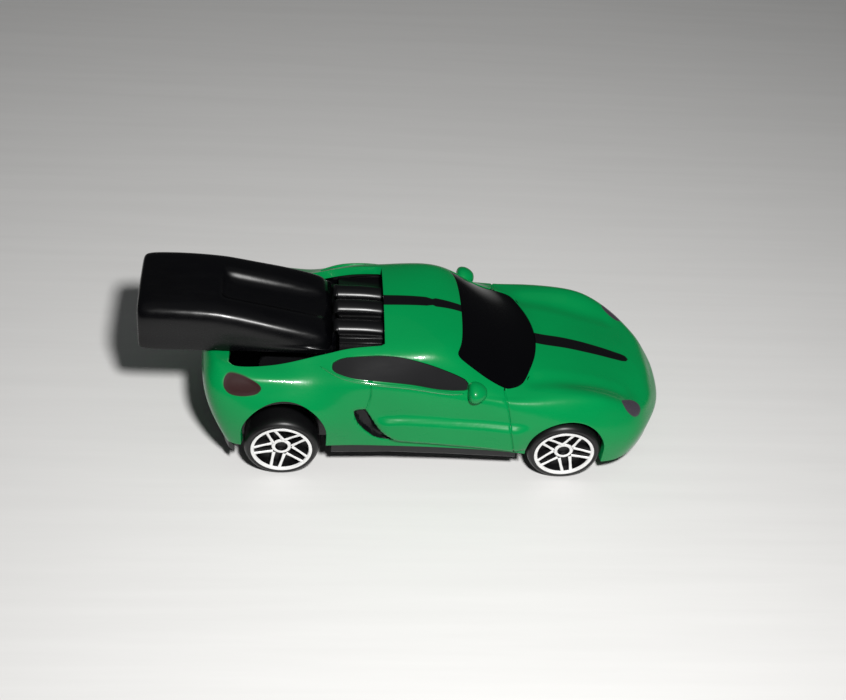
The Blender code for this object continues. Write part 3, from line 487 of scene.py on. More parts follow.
# ---------------------------- materials
class Nodes:
    """Small helper to write a node material from code."""

    def __init__(self, name):
        self.material = bpy.data.materials.new(name)
        self.material.use_nodes = True
        self.tree = self.material.node_tree
        self.shader = self.tree.nodes["Principled BSDF"]
        self.coords = self.add("ShaderNodeTexCoord").outputs["Object"]

    def add(self, kind, **values):
        node = self.tree.nodes.new(kind)
        for key, value in values.items():
            setattr(node, key, value)
        return node

    def link(self, source, target):
        self.tree.links.new(source, target)

    def fixed(self, **values):
        names = {"rough": "Roughness", "metal": "Metallic", "coat": "Coat Weight",
                 "coat_rough": "Coat Roughness", "specular": "Specular IOR Level"}
        for key, value in values.items():
            self.shader.inputs[names[key]].default_value = value

    def noise(self, scale, detail=4.0, rough=0.6, stretch=None):
        node = self.add("ShaderNodeTexNoise")
        node.inputs["Scale"].default_value = scale
        node.inputs["Detail"].default_value = detail
        node.inputs["Roughness"].default_value = rough
        source = self.coords
        if stretch:
            mapping = self.add("ShaderNodeMapping")
            mapping.inputs["Scale"].default_value = stretch
            self.link(self.coords, mapping.inputs["Vector"])
            source = mapping.outputs["Vector"]
        self.link(source, node.inputs["Vector"])
        return node.outputs["Fac"]

    def ramp(self, source, low, high, to_low=0.0, to_high=1.0):
        node = self.add("ShaderNodeMapRange")
        node.inputs["From Min"].default_value = low
        node.inputs["From Max"].default_value = high
        node.inputs["To Min"].default_value = to_low
        node.inputs["To Max"].default_value = to_high
        self.link(source, node.inputs["Value"])
        return node.outputs["Result"]

    def mix(self, factor, first, second):
        node = self.add("ShaderNodeMix", data_type="RGBA")
        self.link(factor, node.inputs["Factor"])
        for socket, value in ((node.inputs[6], first), (node.inputs[7], second)):
            if isinstance(value, tuple):
                socket.default_value = (*value, 1.0)
            else:
                self.link(value, socket)
        return node.outputs[2]

    def mix_value(self, factor, first, second):
        node = self.add("ShaderNodeMix", data_type="FLOAT")
        self.link(factor, node.inputs["Factor"])
        for socket, value in ((node.inputs[2], first), (node.inputs[3], second)):
            if isinstance(value, (int, float)):
                socket.default_value = value
            else:
                self.link(value, socket)
        return node.outputs[0]

    def attribute(self, name):
        return self.add("ShaderNodeAttribute", attribute_name=name).outputs["Fac"]

    def bump(self, height, strength, distance):
        node = self.add("ShaderNodeBump")
        node.inputs["Strength"].default_value = strength
        node.inputs["Distance"].default_value = distance
        self.link(height, node.inputs["Height"])
        self.link(node.outputs["Normal"], self.shader.inputs["Normal"])
        return node.outputs["Normal"]

    def color(self, source):
        self.link(source, self.shader.inputs["Base Color"])

    def rough(self, source):
        self.link(source, self.shader.inputs["Roughness"])


def plastic(name, color, rough, vary=0.15, bump=0.02, spread=0.05, coat=0.0, specular=0.4):
    """Moulded plastic: slight colour drift, uneven gloss and a very fine surface grain."""
    n = Nodes(name)
    n.fixed(coat=coat, coat_rough=0.05, specular=specular)
    drift = n.noise(60.0, 3.0)
    darker = tuple(c * (1 - vary) for c in color)
    lighter = tuple(min(1.0, c * (1 + vary)) for c in color)
    n.color(n.mix(n.ramp(drift, 0.3, 0.7), darker, lighter))
    scuff = n.noise(220.0, 6.0, 0.7, (1.0, 3.0, 3.0))
    n.rough(n.ramp(scuff, 0.35, 0.75, rough, rough + spread))
    n.bump(n.noise(900.0, 3.0), bump, 0.00005)
    return n.material


def metal(name, color, rough):
    """Drawn or plated metal with fine streaks along Y."""
    n = Nodes(name)
    n.fixed(metal=1.0)
    n.color(n.mix(n.ramp(n.noise(150.0, 4.0), 0.3, 0.7), tuple(c * 0.85 for c in color), color))
    streaks = n.noise(400.0, 5.0, 0.7, (1.0, 0.08, 1.0))
    n.rough(n.ramp(streaks, 0.3, 0.7, rough, rough + 0.15))
    n.bump(streaks, 0.15, 0.00003)
    return n.material


GREEN = (0.0, 0.235, 0.058)
PRINT_BLACK = (0.004, 0.004, 0.005)
TAIL_RED = (0.026, 0.008, 0.008)
HEAD_VIOLET = (0.055, 0.045, 0.06)
LAMP_ROUGH = 0.6


def body_paint():
    """Glossy green moulding with printed stripes and lamps, and a black side intake."""
    n = Nodes("body_green_plastic")
    n.fixed(coat=0.2, coat_rough=0.05, specular=0.16)
    drift = n.ramp(n.noise(45.0, 3.0), 0.3, 0.7)
    green = n.mix(drift, tuple(c * 0.93 for c in GREEN), tuple(c * 1.06 for c in GREEN))
    lamp = n.ramp(n.attribute("tail_lamp"), -0.06, 0.06, 1.0, 0.0)
    color = n.mix(lamp, green, TAIL_RED)
    head = n.ramp(n.attribute("head_lamp"), -0.06, 0.06, 1.0, 0.0)
    color = n.mix(head, color, HEAD_VIOLET)
    black = n.ramp(n.attribute("black"), -0.05, 0.05, 1.0, 0.0)
    color = n.mix(black, color, PRINT_BLACK)
    n.color(color)
    scuff = n.noise(160.0, 6.0, 0.7, (1.0, 3.0, 3.0))
    gloss = n.ramp(scuff, 0.35, 0.8, 0.26, 0.36)
    n.rough(n.mix_value(n.ramp(n.attribute("tail_lamp"), -0.1, 0.1, 1.0, 0.0), gloss, LAMP_ROUGH))
    ripple = n.bump(n.noise(800.0, 2.0), 0.6, 0.00003)
    n.link(ripple, n.shader.inputs["Coat Normal"])
    return n.material


def silver_print():
    """Silver ink with a fine metallic grain."""
    n = Nodes("silver_print")
    n.fixed(metal=0.15, specular=0.4)
    grain = n.noise(900.0, 4.0, 0.7)
    n.color(n.mix(n.ramp(grain, 0.3, 0.7), (0.78, 0.78, 0.78), (0.93, 0.93, 0.92)))
    n.rough(n.ramp(grain, 0.3, 0.7, 0.3, 0.42))
    n.bump(grain, 0.05, 0.00004)
    return n.material


MATS = {
    "body": body_paint(),
    "green": plastic("green_plastic", GREEN, 0.28, 0.06, coat=0.2, specular=0.16),
    "bead": plastic("glossy_green", GREEN, 0.14, 0.06, bump=0.5, coat=1.0, specular=0.6),
    "screen": plastic("window_black", (0.0015, 0.0015, 0.002), 0.14, spread=0.05, specular=0.15),
    "smoke": plastic("window_smoke", (0.012, 0.012, 0.013), 0.55, spread=0.1, specular=0.08),
    "chassis": plastic("chassis_black", (0.004, 0.004, 0.005), 0.34, spread=0.12, bump=0.06),
    "deck": plastic("deck_black", (0.0025, 0.0025, 0.003), 0.28, spread=0.1, specular=0.45),
    "lever": plastic("lever_black", (0.001, 0.001, 0.0015), 0.22, bump=0.12, spread=0.15,
                     specular=0.34),
    "tyre": plastic("wheel_black", (0.003, 0.003, 0.0035), 0.36, spread=0.12, bump=0.05),
    "silver": silver_print(),
    "case": plastic("motor_black", (0.006, 0.006, 0.007), 0.42),
    "gear": plastic("gear_acetal", (0.72, 0.7, 0.64), 0.38),
    "steel": metal("drawn_steel", (0.62, 0.62, 0.64), 0.25),
    "spring": metal("blued_strip", (0.16, 0.18, 0.24), 0.3),
    "screw": metal("plated_screw", (0.52, 0.5, 0.46), 0.3),
}


# ---------------------------- simple shapes
def circle(count):
    """Evenly spaced angles of a full turn."""
    return [2 * math.pi * i / count for i in range(count)]


def ring_faces(rings, caps=True, closed=True):
    """Points and faces of a skin over a row of rings."""
    count = len(rings[0])
    points = [p for ring in rings for p in ring]
    faces = []
    for i in range(len(rings) - 1):
        for j in range(count if closed else count - 1):
            k = (j + 1) % count
            faces.append((i * count + j, i * count + k, (i + 1) * count + k, (i + 1) * count + j))
    if caps:
        faces.append(tuple(range(count)))
        faces.append(tuple(range(len(points) - 1, len(points) - count - 1, -1)))
    return points, faces


def fix_normals(obj):
    """Point all faces of a mesh outward."""
    bm = bmesh.new()
    bm.from_mesh(obj.data)
    bmesh.ops.recalc_face_normals(bm, faces=bm.faces)
    bm.to_mesh(obj.data)
    bm.free()


def smooth_more(obj, levels):
    """Subdivide a coarse mesh into a smooth one."""
    mod = obj.modifiers.new("smooth", "SUBSURF")
    mod.levels = levels
    mod.render_levels = levels


def turned(name, profile, centre, count, material, body, replaces=()):
    """Ring of (radius, y) points turned round an axis along Y."""
    cx, cz = centre
    points = []
    for radius, y in profile:
        for a in circle(count):
            points.append((cx + radius * math.cos(a), y, cz + radius * math.sin(a)))
    faces = []
    rows = len(profile)
    for i in range(rows):
        for j in range(count):
            k = (j + 1) % count
            n = (i + 1) % rows
            faces.append((i * count + j, i * count + k, n * count + k, n * count + j))
    obj = mesh_object(name, points, faces, material, body, replaces)
    fix_normals(obj)
    obj.data.set_sharp_from_angle(angle=math.radians(35))
    return obj


def rectangle(x0, x1, z0, z1):
    """Corners of an upright rectangle in x and z."""
    return [(x0, z0), (x1, z0), (x1, z1), (x0, z1)]


def block(name, outline, y0, y1, material, body):
    """Outline in x and z drawn out along y, with rounded edges."""
    drawn_out(name, [[(x, y, z) for x, z in outline] for y in sorted((y0, y1))], material, body)


def block_y(name, outline, x0, x1):
    """Outline in y and z drawn out along x; it stands for the deck panel."""
    plate = drawn_out(name, [[(x, y, z) for y, z in outline] for x in (x0, x1)], "deck", "car", 0.06)
    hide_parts("deck_panel")


def drawn_out(name, rings, material, body, edge=0.15):
    """Closed skin over a row of rings, with its edges rounded."""
    points, faces = ring_faces(rings)
    obj = mesh_object(name, points, faces, MATS[material], body)
    fix_normals(obj)
    round_edges(obj, edge, 40)
    return obj


# ---------------------------- body shell
SMALLEST_STEP = 0.008


def u_lines(count, refine=()):
    """Values of u: count for each span, with finer steps over the refined stretches."""
    base = [np.linspace(0, LAST_U, LAST_U * count + 1)]
    base += [np.arange(low, high + 1e-9, step) for low, high, step in refine]
    lines = np.unique(np.round(np.concatenate(base), 4))
    keep = [lines[0]]
    for value in lines[1:]:
        if value - keep[-1] > SMALLEST_STEP:
            keep.append(value)
    keep[-1] = float(LAST_U)
    return np.array(keep)


DOOR_FRONT = curve_through([(32.4, 15.9), (32.9, 14.4), (33.3, 12.6), (33.9, 9.6), (34.7, 6.0)],
                           closed=False)
DOOR_REAR = curve_through([(12.5, 18.7), (12.7, 17.2), (12.6, 15.6), (12.2, 13.9)], closed=False)
FENDER_VALLEY = curve_through([(37.5, 9.0), (41, 8.6), (44, 8.4), (47, 8.2), (50.3, 8.3)],
                              closed=False)
# Lower door panel that stands proud: its upper and lower edges as height over x.
DOOR_PANEL_TOP = [(12.8, 13.2), (17.8, 13.4), (25.2, 12.7), (33.4, 12.3)]
DOOR_PANEL_LOW = [(12.8, 8.2), (18.2, 7.5), (25.8, 6.7), (33.4, 6.1)]
DOOR_PANEL_RISE = 0.9
# Depth of each recess and the width over which it turns over.
INTAKE_BOWL = (0.95, 0.5)
LAMP_BOWL = (0.12, 0.3)
DOOR_GAP = (0.22, 0.2)
VALLEY = (0.3, 2.4)


def bowl(distance, depth, edge):
    """Smooth recess: full depth inside, nothing outside, turning over within the edge width."""
    t = np.clip(-distance / edge, 0, 1)
    return depth * t * t * (3 - 2 * t)


def fade(value, low, high):
    """Smooth step from 0 at low to 1 at high."""
    t = np.clip((value - low) / (high - low), 0, 1)
    return t * t * (3 - 2 * t)


def groove(distance, depth, half):
    """Smooth furrow that is deepest on the line."""
    return depth * (1 - fade(distance, 0, half))


def height_at(x, edge):
    """Height of an edge given as (x, z) points."""
    return np.interp(x, [q[0] for q in edge], [q[1] for q in edge])


def door_panel(p):
    """How far the lower door stands out of the side."""
    below_top = height_at(p[:, 0], DOOR_PANEL_TOP) - p[:, 2]
    above_low = p[:, 2] - height_at(p[:, 0], DOOR_PANEL_LOW)
    ends = fade(p[:, 0], 12.5, 15.5) * (1 - fade(p[:, 0], 34.3, 37.5))
    return DOOR_PANEL_RISE * fade(below_top, 0.6, 2.0) * fade(above_low, 0, 0.9) * ends


def stripes(p):
    """Negative inside the printed bonnet and roof stripes."""
    y = np.abs(p[:, 1])
    out = np.full(len(p), FAR)
    for outline in (BONNET_STRIPE, ROOF_STRIPE):
        xs = [q[0] for q in outline]
        half = np.interp(p[:, 0], xs, [q[1] for q in outline])
        ends = np.maximum(xs[0] - p[:, 0], p[:, 0] - xs[-1])
        out = np.minimum(out, near(np.maximum(y - half, ends), 10.5, FAR, p[:, 2]))
    return out


def relief(p):
    """How far each point of the outer skin is pressed in, in millimetres."""
    side = np.abs(p[:, 1]) > 11.0
    flat = p[:, [0, 2]]
    plan = np.stack([p[:, 0], np.abs(p[:, 1])], -1)
    depth = np.where(side, bowl(area_distance(flat, INTAKE_LINE), *INTAKE_BOWL) - door_panel(p), 0)
    for line in (DOOR_FRONT, DOOR_REAR):
        depth = depth + np.where(side, groove(line_distance(flat, line, False), *DOOR_GAP), 0)
    valley = groove(line_distance(plan, FENDER_VALLEY, False), *VALLEY)
    depth = depth + valley * fade(p[:, 2], 9.0, 12.0)
    depth = depth + np.where(side, bowl(area_distance(flat, TAIL_LINE), *LAMP_BOWL), 0)
    return depth


BODY_WALL = 1.15
SPAN_STEPS = 11
# First u, last u and step where the two door gaps run.
DOOR_GAP_STRETCHES = ((7.4, 7.64, 0.02), (11.68, 12.26, 0.02))


def build_body():
    """Moulded shell with its openings, grooves and printed areas."""
    u = u_lines(SPAN_STEPS, DOOR_GAP_STRETCHES)
    v = np.linspace(0, LAST_V, LAST_V * SPAN_STEPS + 1)
    uu, vv, faces = trim(u, v, openings)
    base = skin(uu, vv)
    pts = base + inward(uu, vv) * relief(base)[:, None]
    pts, faces, source = mirrored(pts, faces)
    body = mesh_object("body_skin", pts, faces, MATS["body"], "car", ["body_shell"])
    flat = base[:, [0, 2]]
    side = np.abs(base[:, 1]) > 9.0
    plan = np.stack([base[:, 0], np.abs(base[:, 1])], -1)
    black = np.minimum(stripes(base), np.where(side, area_distance(flat, INTAKE_LINE) + 0.12, FAR))
    paint(body, "black", black[source])
    paint(body, "tail_lamp", np.where(side, area_distance(flat, TAIL_LINE), FAR)[source])
    head = np.where(base[:, 2] > 9.5, area_distance(plan, HEAD_LINE), FAR)
    paint(body, "head_lamp", head[source])
    thicken(body, BODY_WALL)
    round_edges(body, 0.16, 50, 3)


INSERT_DEPTH = 1.6
INSERT_WALL = 0.9
HATCH_GAP = 1.1
PANE_OVERLAP = 0.3
PANE_BITE = 0.1
PANE_V = np.linspace(3.2, LAST_V, 60)
INSERT_V = np.linspace(3.5, LAST_V, 36)
INSERT_U = (6, 13)
# Name, outline, depth under the skin, first and last u, material.
PANES = (("windscreen", windscreen, 0.12, 9.5, 13.4, "screen"),
         ("side_glass", side_window, 0.4, 5.5, 11.5, "smoke"))


def build_panes():
    """Dark glazing seated under the skin, and the moulded insert that carries it."""
    u = u_lines(9)
    for name, shape, inset, low, high, mat in PANES:
        uu = u[(u >= low) & (u <= high)]
        pu, pv, faces = trim(uu, PANE_V, lambda p, s=shape: PANE_OVERLAP - s(p))
        pts = skin(pu, pv) + inward(pu, pv) * inset
        pts, faces, _ = mirrored(pts, faces)
        pane = mesh_object(name, pts, faces, MATS[mat], "car", ["window_insert"])
        thicken(pane, INSERT_DEPTH + PANE_BITE - inset)
    uu = u[(u >= INSERT_U[0]) & (u <= INSERT_U[1])]
    pu, pv, faces = trim(uu, INSERT_V, lambda p: hatch(p) - HATCH_GAP)
    pts = skin(pu, pv) + inward(pu, pv) * INSERT_DEPTH
    pts, faces, _ = mirrored(pts, faces)
    insert = mesh_object("glass_insert", pts, faces, MATS["screen"], "car", ["window_insert"])
    thicken(insert, INSERT_WALL)


MIRROR_Y, MIRROR_Z = 12.85, 16.4
MIRROR_HALF_WIDTH, MIRROR_HALF_HEIGHT = 1.85, 1.4
MIRROR_SIZES = ((26.85, 0.3), (26.95, 0.7), (27.3, 0.98), (27.9, 1.05), (28.6, 0.95), (29.3, 0.65),
                (29.7, 0.3))


def mirror_pods():
    """Door mirrors: rounded pods that swell at the back and taper forward into the door."""
    for side, label in ((1, "left"), (-1, "right")):
        rings = []
        for x, size in MIRROR_SIZES:
            rings.append([(x, side * (MIRROR_Y + MIRROR_HALF_WIDTH * size * math.cos(a)),
                           MIRROR_Z + MIRROR_HALF_HEIGHT * size * math.sin(a)) for a in circle(16)])
        points, faces = ring_faces(rings)
        pod = mesh_object("mirror_" + label, points, faces, MATS["green"], "car")
        fix_normals(pod)
        smooth_more(pod, 2)


WAIST = [(5.2, 18.85), (7.2, 18.5), (9.2, 18.3), (12.8, 18.05), (15.6, 17.75), (18.4, 17.35),
         (20.6, 16.9), (22.8, 16.45), (24.8, 16.15), (26.4, 16.05)]
WAIST_BEAD = 0.3
WAIST_U, WAIST_V = np.linspace(5, 12, 240), np.linspace(3, LAST_V - 1, 200)


def waist_beads():
    """Thin raised line under each side window, seated on the nearest points of the skin."""
    u, v = np.meshgrid(WAIST_U, WAIST_V, indexing="ij")
    grid = skin(u.ravel(), v.ravel())
    for side, label in ((1, "left"), (-1, "right")):
        rings = []
        for i, (x, z) in enumerate(WAIST):
            seat = grid[np.argmin(np.hypot(grid[:, 0] - x, grid[:, 2] - z))]
            r = WAIST_BEAD * (0.4 if i in (0, len(WAIST) - 1) else 1.0)
            rings.append([(x, side * (seat[1] + r * math.cos(a)), z + r * math.sin(a))
                          for a in circle(8)])
        points, faces = ring_faces(rings)
        bead = mesh_object("waist_bead_" + label, points, faces, MATS["bead"], "car")
        fix_normals(bead)
        smooth_more(bead, 2)


# ---------------------------- lever
LEVER_WALL = 0.6
BARREL_BORE, BARREL_R, BARREL_HALF, BARREL_CHAMFER = 0.82, 1.35, 4.1, 0.15
# Webs stand over the hinge barrel; braces run across under the top.
WEB_Y, WEB_HALF_LENGTH, WEB_HALF_WIDTH, WEB_RISE, WEB_TOP = 3.4, 1.2, 0.5, 0.9, 20.9
BRACE_HALF_LENGTH, BRACE_HALF_WIDTH, BRACE_LOW = 0.5, 6.0, 19.6
LEVER_STATIONS = [
    # x, ridge height, ridge half width, channel depth, bottom
    (-20.9, 24.4, 6.0, 0.0, 19.6), (-20.75, 25.1, 6.6, 0.0, 19.0), (-20.0, 25.4, 6.95, 0.0, 18.85),
    (-16.0, 25.45, 7.0, 0.0, 18.85), (-13.0, 25.35, 7.0, 0.0, 18.85), (-10.4, 25.15, 7.0, 0.0, 18.85),
    (-9.2, 25.0, 7.0, 0.0, 18.9), (-8.6, 24.9, 7.05, 1.2, 18.9), (-6.8, 24.55, 7.05, 1.3, 18.9),
    (-4.0, 23.85, 7.15, 1.25, 18.95), (-1.0, 23.15, 7.3, 1.2, 19.0), (2.0, 22.35, 7.35, 1.1, 19.0),
    (4.8, 21.55, 7.3, 0.8, 18.85), (5.8, 21.05, 7.2, 0.6, 18.75), (6.5, 20.3, 7.0, 0.3, 18.65),
    (6.9, 19.6, 6.65, 0.1, 18.65), (7.1, 18.95, 6.2, 0.0, 18.75)]


def lever_ring(x, ridge, w, channel, low):
    """Open outline from one lower edge over both ridges and the channel to the other edge."""
    crown = ridge + 0.3
    half = [(0.0, crown - channel + 0.05), (2.4, crown - channel), (2.9, crown - 0.05),
            (w - 1.7, crown - 0.08), (w - 0.3, ridge - 0.15), (w + 0.35, ridge - 1.8),
            (w + 0.45, 0.35 * ridge + 0.65 * low), (w + 0.7, low + 0.85), (w + 0.75, low)]
    ring = [(-y, z) for y, z in reversed(half[1:])] + half
    return [(x, y, z) for y, z in ring]


def build_lever():
    """Hollow broad lever, open underneath, with its hinge barrel and inner ribs."""
    rings = [lever_ring(*s) for s in LEVER_STATIONS]
    points, faces = ring_faces(rings, caps=False, closed=False)
    count = len(rings[0])
    for base in (0, (len(rings) - 1) * count):
        faces += ladder(base, count)
    lever = mesh_object("lever_shell", points, faces, MATS["lever"], "lever", ["lever"])
    fix_normals(lever)
    smooth_more(lever, 3)
    thicken(lever, LEVER_WALL)
    cx, cz = LEVER_XZ
    end = [(BARREL_R, BARREL_HALF - BARREL_CHAMFER), (BARREL_R - BARREL_CHAMFER, BARREL_HALF),
           (BARREL_BORE, BARREL_HALF)]
    barrel = [(radius, -y) for radius, y in reversed(end)] + end
    turned("lever_barrel", barrel, LEVER_XZ, 48, MATS["lever"], "lever")
    web = rectangle(cx - WEB_HALF_LENGTH, cx + WEB_HALF_LENGTH, cz + WEB_RISE, WEB_TOP)
    for y, label in ((WEB_Y, "left"), (-WEB_Y, "right")):
        block("lever_web_" + label, web, y - WEB_HALF_WIDTH, y + WEB_HALF_WIDTH, "lever", "lever")
    for x, label, top in ((-11.5, "rear", 24.0), (-5.0, "front", 22.2)):
        brace = rectangle(x - BRACE_HALF_LENGTH, x + BRACE_HALF_LENGTH, BRACE_LOW, top)
        block("lever_brace_" + label, brace, -BRACE_HALF_WIDTH, BRACE_HALF_WIDTH, "lever", "lever")


def ladder(base, count):
    """Rows of faces that close the open outline's end."""
    faces = []
    for j in range(count // 2):
        near_side, far_side = base + j, base + count - 1 - j
        if far_side - near_side > 2:
            faces.append((near_side, near_side + 1, far_side - 1, far_side))
        else:
            faces.append((near_side, near_side + 1, far_side))
    return faces


# ---------------------------- wheels
WHEEL_OUTER = 14.95
ROUND = 96
# Radius and depth under the outer face, from the hub over the rim ring to the tread.
WHEEL_FACE = [(0.01, 1.25), (0.8, 1.22), (0.9, 0.95), (0.95, 0.75), (1.05, 0.7), (1.38, 0.72),
              (1.48, 0.82), (1.52, 1.25), (2.6, 1.35), (3.95, 1.2), (4.02, 0.3), (4.06, 0.1),
              (4.12, 0.02), (4.46, 0), (4.54, 0.05), (4.6, 0.15), (4.8, 0.16), (5.05, 0.14),
              (5.3, 0.3), (5.46, 0.6), (5.56, 1.0), (5.6, 1.4)]
# Radius and y of the inner side, from the tread back to the hub.
WHEEL_BACK = [(5.6, 11.2), (5.56, 10.95), (5.4, 10.75), (5.15, 10.66), (4.6, 10.65), (4.5, 11.3),
              (2.2, 11.5), (2.1, 10.75), (0.86, 10.72), (0.85, 13.4), (0.01, 13.45)]
# Rows of the profile with silver print: the hub ring and the rim ring.
SILVER_ROWS = {3, 4, 5, 10, 11, 12, 13}


def build_wheel(end, label, side):
    """One-piece wheel: tread, lip and a dished face of five twin spokes, silver on its high parts."""
    cx = 0.0 if end == "rear" else WHEELBASE
    node = "wheel_" + end + "_" + label
    profile = [(r, WHEEL_OUTER - depth) for r, depth in WHEEL_FACE] + WHEEL_BACK
    rim = turned(node + "_rim", [(r, side * y) for r, y in profile], (cx, WHEEL_R), ROUND,
                 MATS["tyre"], end + "_wheels", [node])
    rim.data.materials.append(MATS["silver"])
    for k, poly in enumerate(rim.data.polygons):
        if k // ROUND in SILVER_ROWS:
            poly.material_index = 1
    spokes(end, label, side, cx)


SPOKE_TURN = {"rear": 41.0, "front": 68.0}
# Radius, distance from the pair's middle line, half width, depth of the top under the outer face.
SPOKE_SECTIONS = ((1.3, 0.82, 0.27, 0.62), (2.6, 0.74, 0.2, 0.42), (4.12, 0.62, 0.25, 0.1))
SPOKE_FOOT = 1.35


def spoke_points(angle, sign):
    """One spoke of a pair as (x, depth, z) about the wheel's centre, six points a section."""
    points = []
    for r, offset, half, top in SPOKE_SECTIONS:
        for w, depth in ((-half - 0.12, SPOKE_FOOT), (-half, top + 0.06), (-half + 0.06, top),
                         (half - 0.06, top), (half, top + 0.06), (half + 0.12, SPOKE_FOOT)):
            across = sign * offset + w
            x = r * math.cos(angle) - across * math.sin(angle)
            z = r * math.sin(angle) + across * math.cos(angle)
            points.append((x, depth, z))
    return points


def spokes(end, label, side, cx):
    """Five twin spokes, silver on their tops."""
    points, faces, tops = [], [], []
    for i in range(5):
        for sign in (-1, 1):
            angle = math.radians(SPOKE_TURN[end] + 72 * i)
            base = len(points)
            for x, depth, z in spoke_points(angle, sign):
                points.append((cx + x, side * (WHEEL_OUTER - depth), WHEEL_R + z))
            for row in range(2):
                for j in range(5):
                    a = base + row * 6 + j
                    faces.append((a, a + 1, a + 7, a + 6))
                    tops.append(1 <= j <= 3)
    obj = mesh_object("wheel_" + end + "_" + label + "_spokes", points, faces, MATS["tyre"],
                      end + "_wheels")
    fix_outward(obj, side)
    obj.data.materials.append(MATS["silver"])
    for poly, top in zip(obj.data.polygons, tops):
        poly.material_index = 1 if top else 0
    obj.data.set_sharp_from_angle(angle=math.radians(50))


def fix_outward(obj, side):
    """Turn every face so that it looks away from the car."""
    flip = [p.index for p in obj.data.polygons if p.normal.y * side < 0]
    for index in flip:
        obj.data.polygons[index].flip()
    obj.data.update()


# ---------------------------- rear deck
PLATE_ENDS = (8.1, 15.2)
LEG_X, LEG_Y, LEG_Z = (8.6, 12.6), (6.9, 8.1), (5.3, 18.9)


def build_deck():
    """Engine-cover panel: a stepped plate with three arched ribs and two legs."""
    low, edge, step = 18.3, 19.2, 19.9
    wide, foot, top = 8.7, 5.9, 5.6
    block_y("deck_plate", [(-wide, low), (wide, low), (wide, edge), (foot, edge), (top, step),
                           (-top, step), (-foot, edge), (-wide, edge)], *PLATE_ENDS)
    for y, crest, label in ((0.0, 21.9, "middle"), (3.8, 21.4, "left"), (-3.8, 21.4, "right")):
        deck_rib("deck_rib_" + label, y, crest)
    for side, label in ((1, "left"), (-1, "right")):
        block("deck_leg_" + label, rectangle(*LEG_X, *LEG_Z), side * LEG_Y[0], side * LEG_Y[1],
              "deck", "car")


RIB_WIDTH = 2.8
RIB_FOOT = 19.4
RIB_LIP = 20.65
RIB_REAR = 7.15
RIB_DOME = 0.9
RIB_FALL, RIB_FALL_FROM = 0.018, 10.5
RIB_X = (7.18, 7.22, 7.32, 7.5, 7.7, 7.82, 7.9, 8.2, 8.7, 9.4, 10.2, 11.2, 12.2, 13.2, 14.2, 15.0)
PLATE_REAR = 7.85


def deck_rib(name, y, crest):
    """Lengthwise rib with a round top and a domed rear end that overhangs the plate's edge."""
    rings = []
    for x in RIB_X:
        t = min(1.0, (x - RIB_REAR) / RIB_DOME)
        rise = math.sqrt(1 - (1 - t) ** 2)
        foot = RIB_FOOT if x > PLATE_REAR else RIB_LIP
        top = RIB_LIP + (crest - RIB_LIP) * rise - RIB_FALL * max(0.0, x - RIB_FALL_FROM) ** 2
        half = RIB_WIDTH / 2 * min(1.0, 0.55 + 0.5 * rise)
        curve = 0.95 * rise * min(1.0, top - foot)
        arc = [math.pi * i / 8 for i in range(9)]
        ring = [(y + half * math.cos(a), max(foot, top - curve + curve * math.sin(a))) for a in arc]
        ring = [(y + half, foot)] + ring + [(y - half, foot)]
        rings.append([(x, py, pz) for py, pz in ring])
    points, faces = ring_faces(rings)
    rib = mesh_object(name, points, faces, MATS["deck"], "car")
    fix_normals(rib)
    rib.data.set_sharp_from_angle(angle=math.radians(60))
    smooth_more(rib, 2)


# ---------------------------- carried-over CAD nodes
# Part of a node's name, its material and the radius of its edges.
DRESS_RULES = (("chassis_base", "chassis", 0.18), ("motor_case", "case", 0.15),
               ("axle_pinion", "gear", 0), ("compound_gear", "gear", 0), ("barrel_gear", "gear", 0),
               ("mainspring", "spring", 0), ("_arbor", "steel", 0), ("_axle", "steel", 0),
               ("lever_pin", "steel", 0.05), ("_screw", "screw", 0.05))


def dress_nodes():
    """Give each carried-over node the material and edges of the first rule that names it."""
    for name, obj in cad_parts.items():
        for part, mat, width in DRESS_RULES:
            if part in name:
                obj.data.materials.clear()
                obj.data.materials.append(MATS[mat])
                if width:
                    round_edges(obj, width, 35)
                break


# ---------------------------- stage, light, camera
FLOOR_HALF = 1.2


def floor():
    """Plain pale table top."""
    mesh = bpy.data.meshes.new("floor")
    corners = [(-1, -1), (1, -1), (1, 1), (-1, 1)]
    mesh.from_pydata([(x * FLOOR_HALF, y * FLOOR_HALF, 0) for x, y in corners], [], [(0, 1, 2, 3)])
    obj = bpy.data.objects.new("floor", mesh)
    bpy.context.scene.collection.objects.link(obj)
    n = Nodes("pale_floor")
    grain = n.noise(30.0, 6.0, 0.6, (0.6, 12.0, 1.0))
    n.color(n.mix(n.ramp(grain, 0.35, 0.65), (0.72, 0.715, 0.71), (0.745, 0.74, 0.735)))
    n.fixed(rough=0.55)
    mesh.materials.append(n.material)


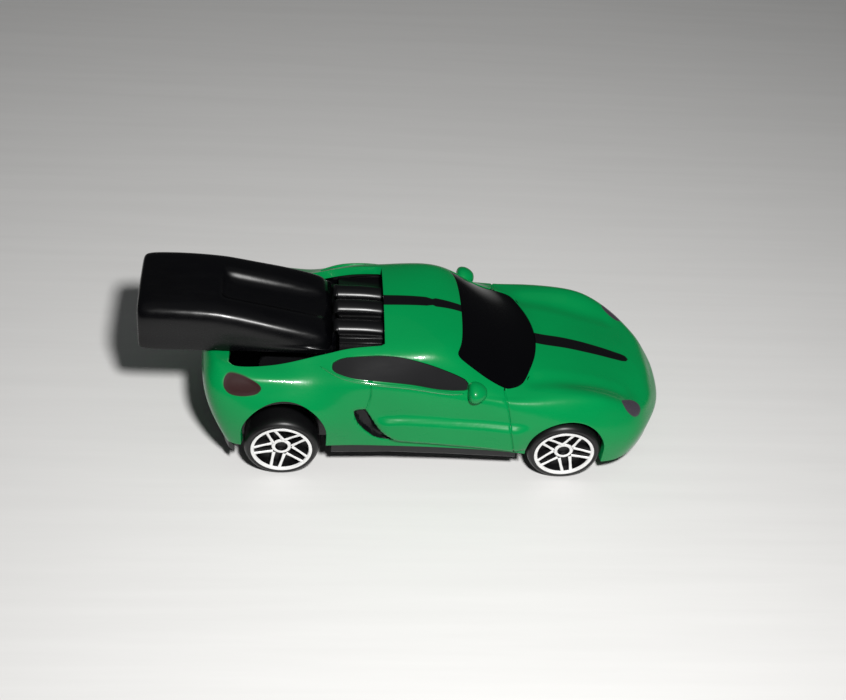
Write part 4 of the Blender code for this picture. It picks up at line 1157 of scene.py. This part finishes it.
def area_light(name, location, target, size, power, color=(1, 1, 1)):
    """Round light aimed at a target."""
    data = bpy.data.lights.new(name, "AREA")
    data.shape = "DISK"
    data.size = size
    data.energy = power
    data.color = color
    obj = bpy.data.objects.new(name, data)
    obj.location = location
    aim = Vector(target) - Vector(location)
    obj.rotation_euler = aim.to_track_quat("-Z", "Y").to_euler()
    bpy.context.scene.collection.objects.link(obj)


# Camera place in car millimetres, its right and up directions, its lens and its sensor.
CAMERA_AT = (1.42, -154.69, 160.91)
RIGHT = (0.996, -0.051, 0.080)
UP = (-0.022, 0.694, 0.720)
LENS = 59.67
SENSOR = 36.0
# The flash stands beside and above the camera.
FLASH_AT, FLASH_TARGET = (32.0, -132.0, 188.0), (22, 10, 8)
FLASH_SIZE, FLASH_POWER = 0.022, 0.6
TOP_AT, TOP_TARGET = (20, 40, 320.0), (20, 0, 8)
TOP_SIZE, TOP_POWER = 0.35, 0.03
ROOM_COLOR, ROOM_STRENGTH = (0.95, 0.98, 1.0, 1), 0.05


def camera():
    """Camera from its place and its right and up directions, made square to each other."""
    data = bpy.data.cameras.new("camera")
    data.lens = LENS
    data.sensor_width = SENSOR
    data.clip_start = 0.005
    obj = bpy.data.objects.new("camera", data)
    x = Vector(RIGHT).normalized()
    y = Vector(UP)
    z = x.cross(y).normalized()
    y = z.cross(x)
    turn = Matrix((x, y, z)).transposed().to_4x4()
    turn.translation = Vector(place(CAMERA_AT))
    obj.matrix_world = turn
    bpy.context.scene.collection.objects.link(obj)
    bpy.context.scene.camera = obj


def studio():
    """One small flash, a faint soft light from above and a dim room."""
    world = bpy.data.worlds.new("room")
    world.use_nodes = True
    room = world.node_tree.nodes["Background"]
    room.inputs["Color"].default_value = ROOM_COLOR
    room.inputs["Strength"].default_value = ROOM_STRENGTH
    bpy.context.scene.world = world
    bpy.context.scene.view_settings.view_transform = "Standard"
    area_light("flash", place(FLASH_AT), place(FLASH_TARGET), FLASH_SIZE, FLASH_POWER,
               (1.0, 0.995, 0.98))
    area_light("soft_top", place(TOP_AT), place(TOP_TARGET), TOP_SIZE, TOP_POWER)


build_body()
build_panes()
mirror_pods()
waist_beads()
build_lever()
build_deck()
for wheel_end in ("rear", "front"):
    build_wheel(wheel_end, "left", 1)
    build_wheel(wheel_end, "right", -1)
dress_nodes()
floor()
studio()
camera()
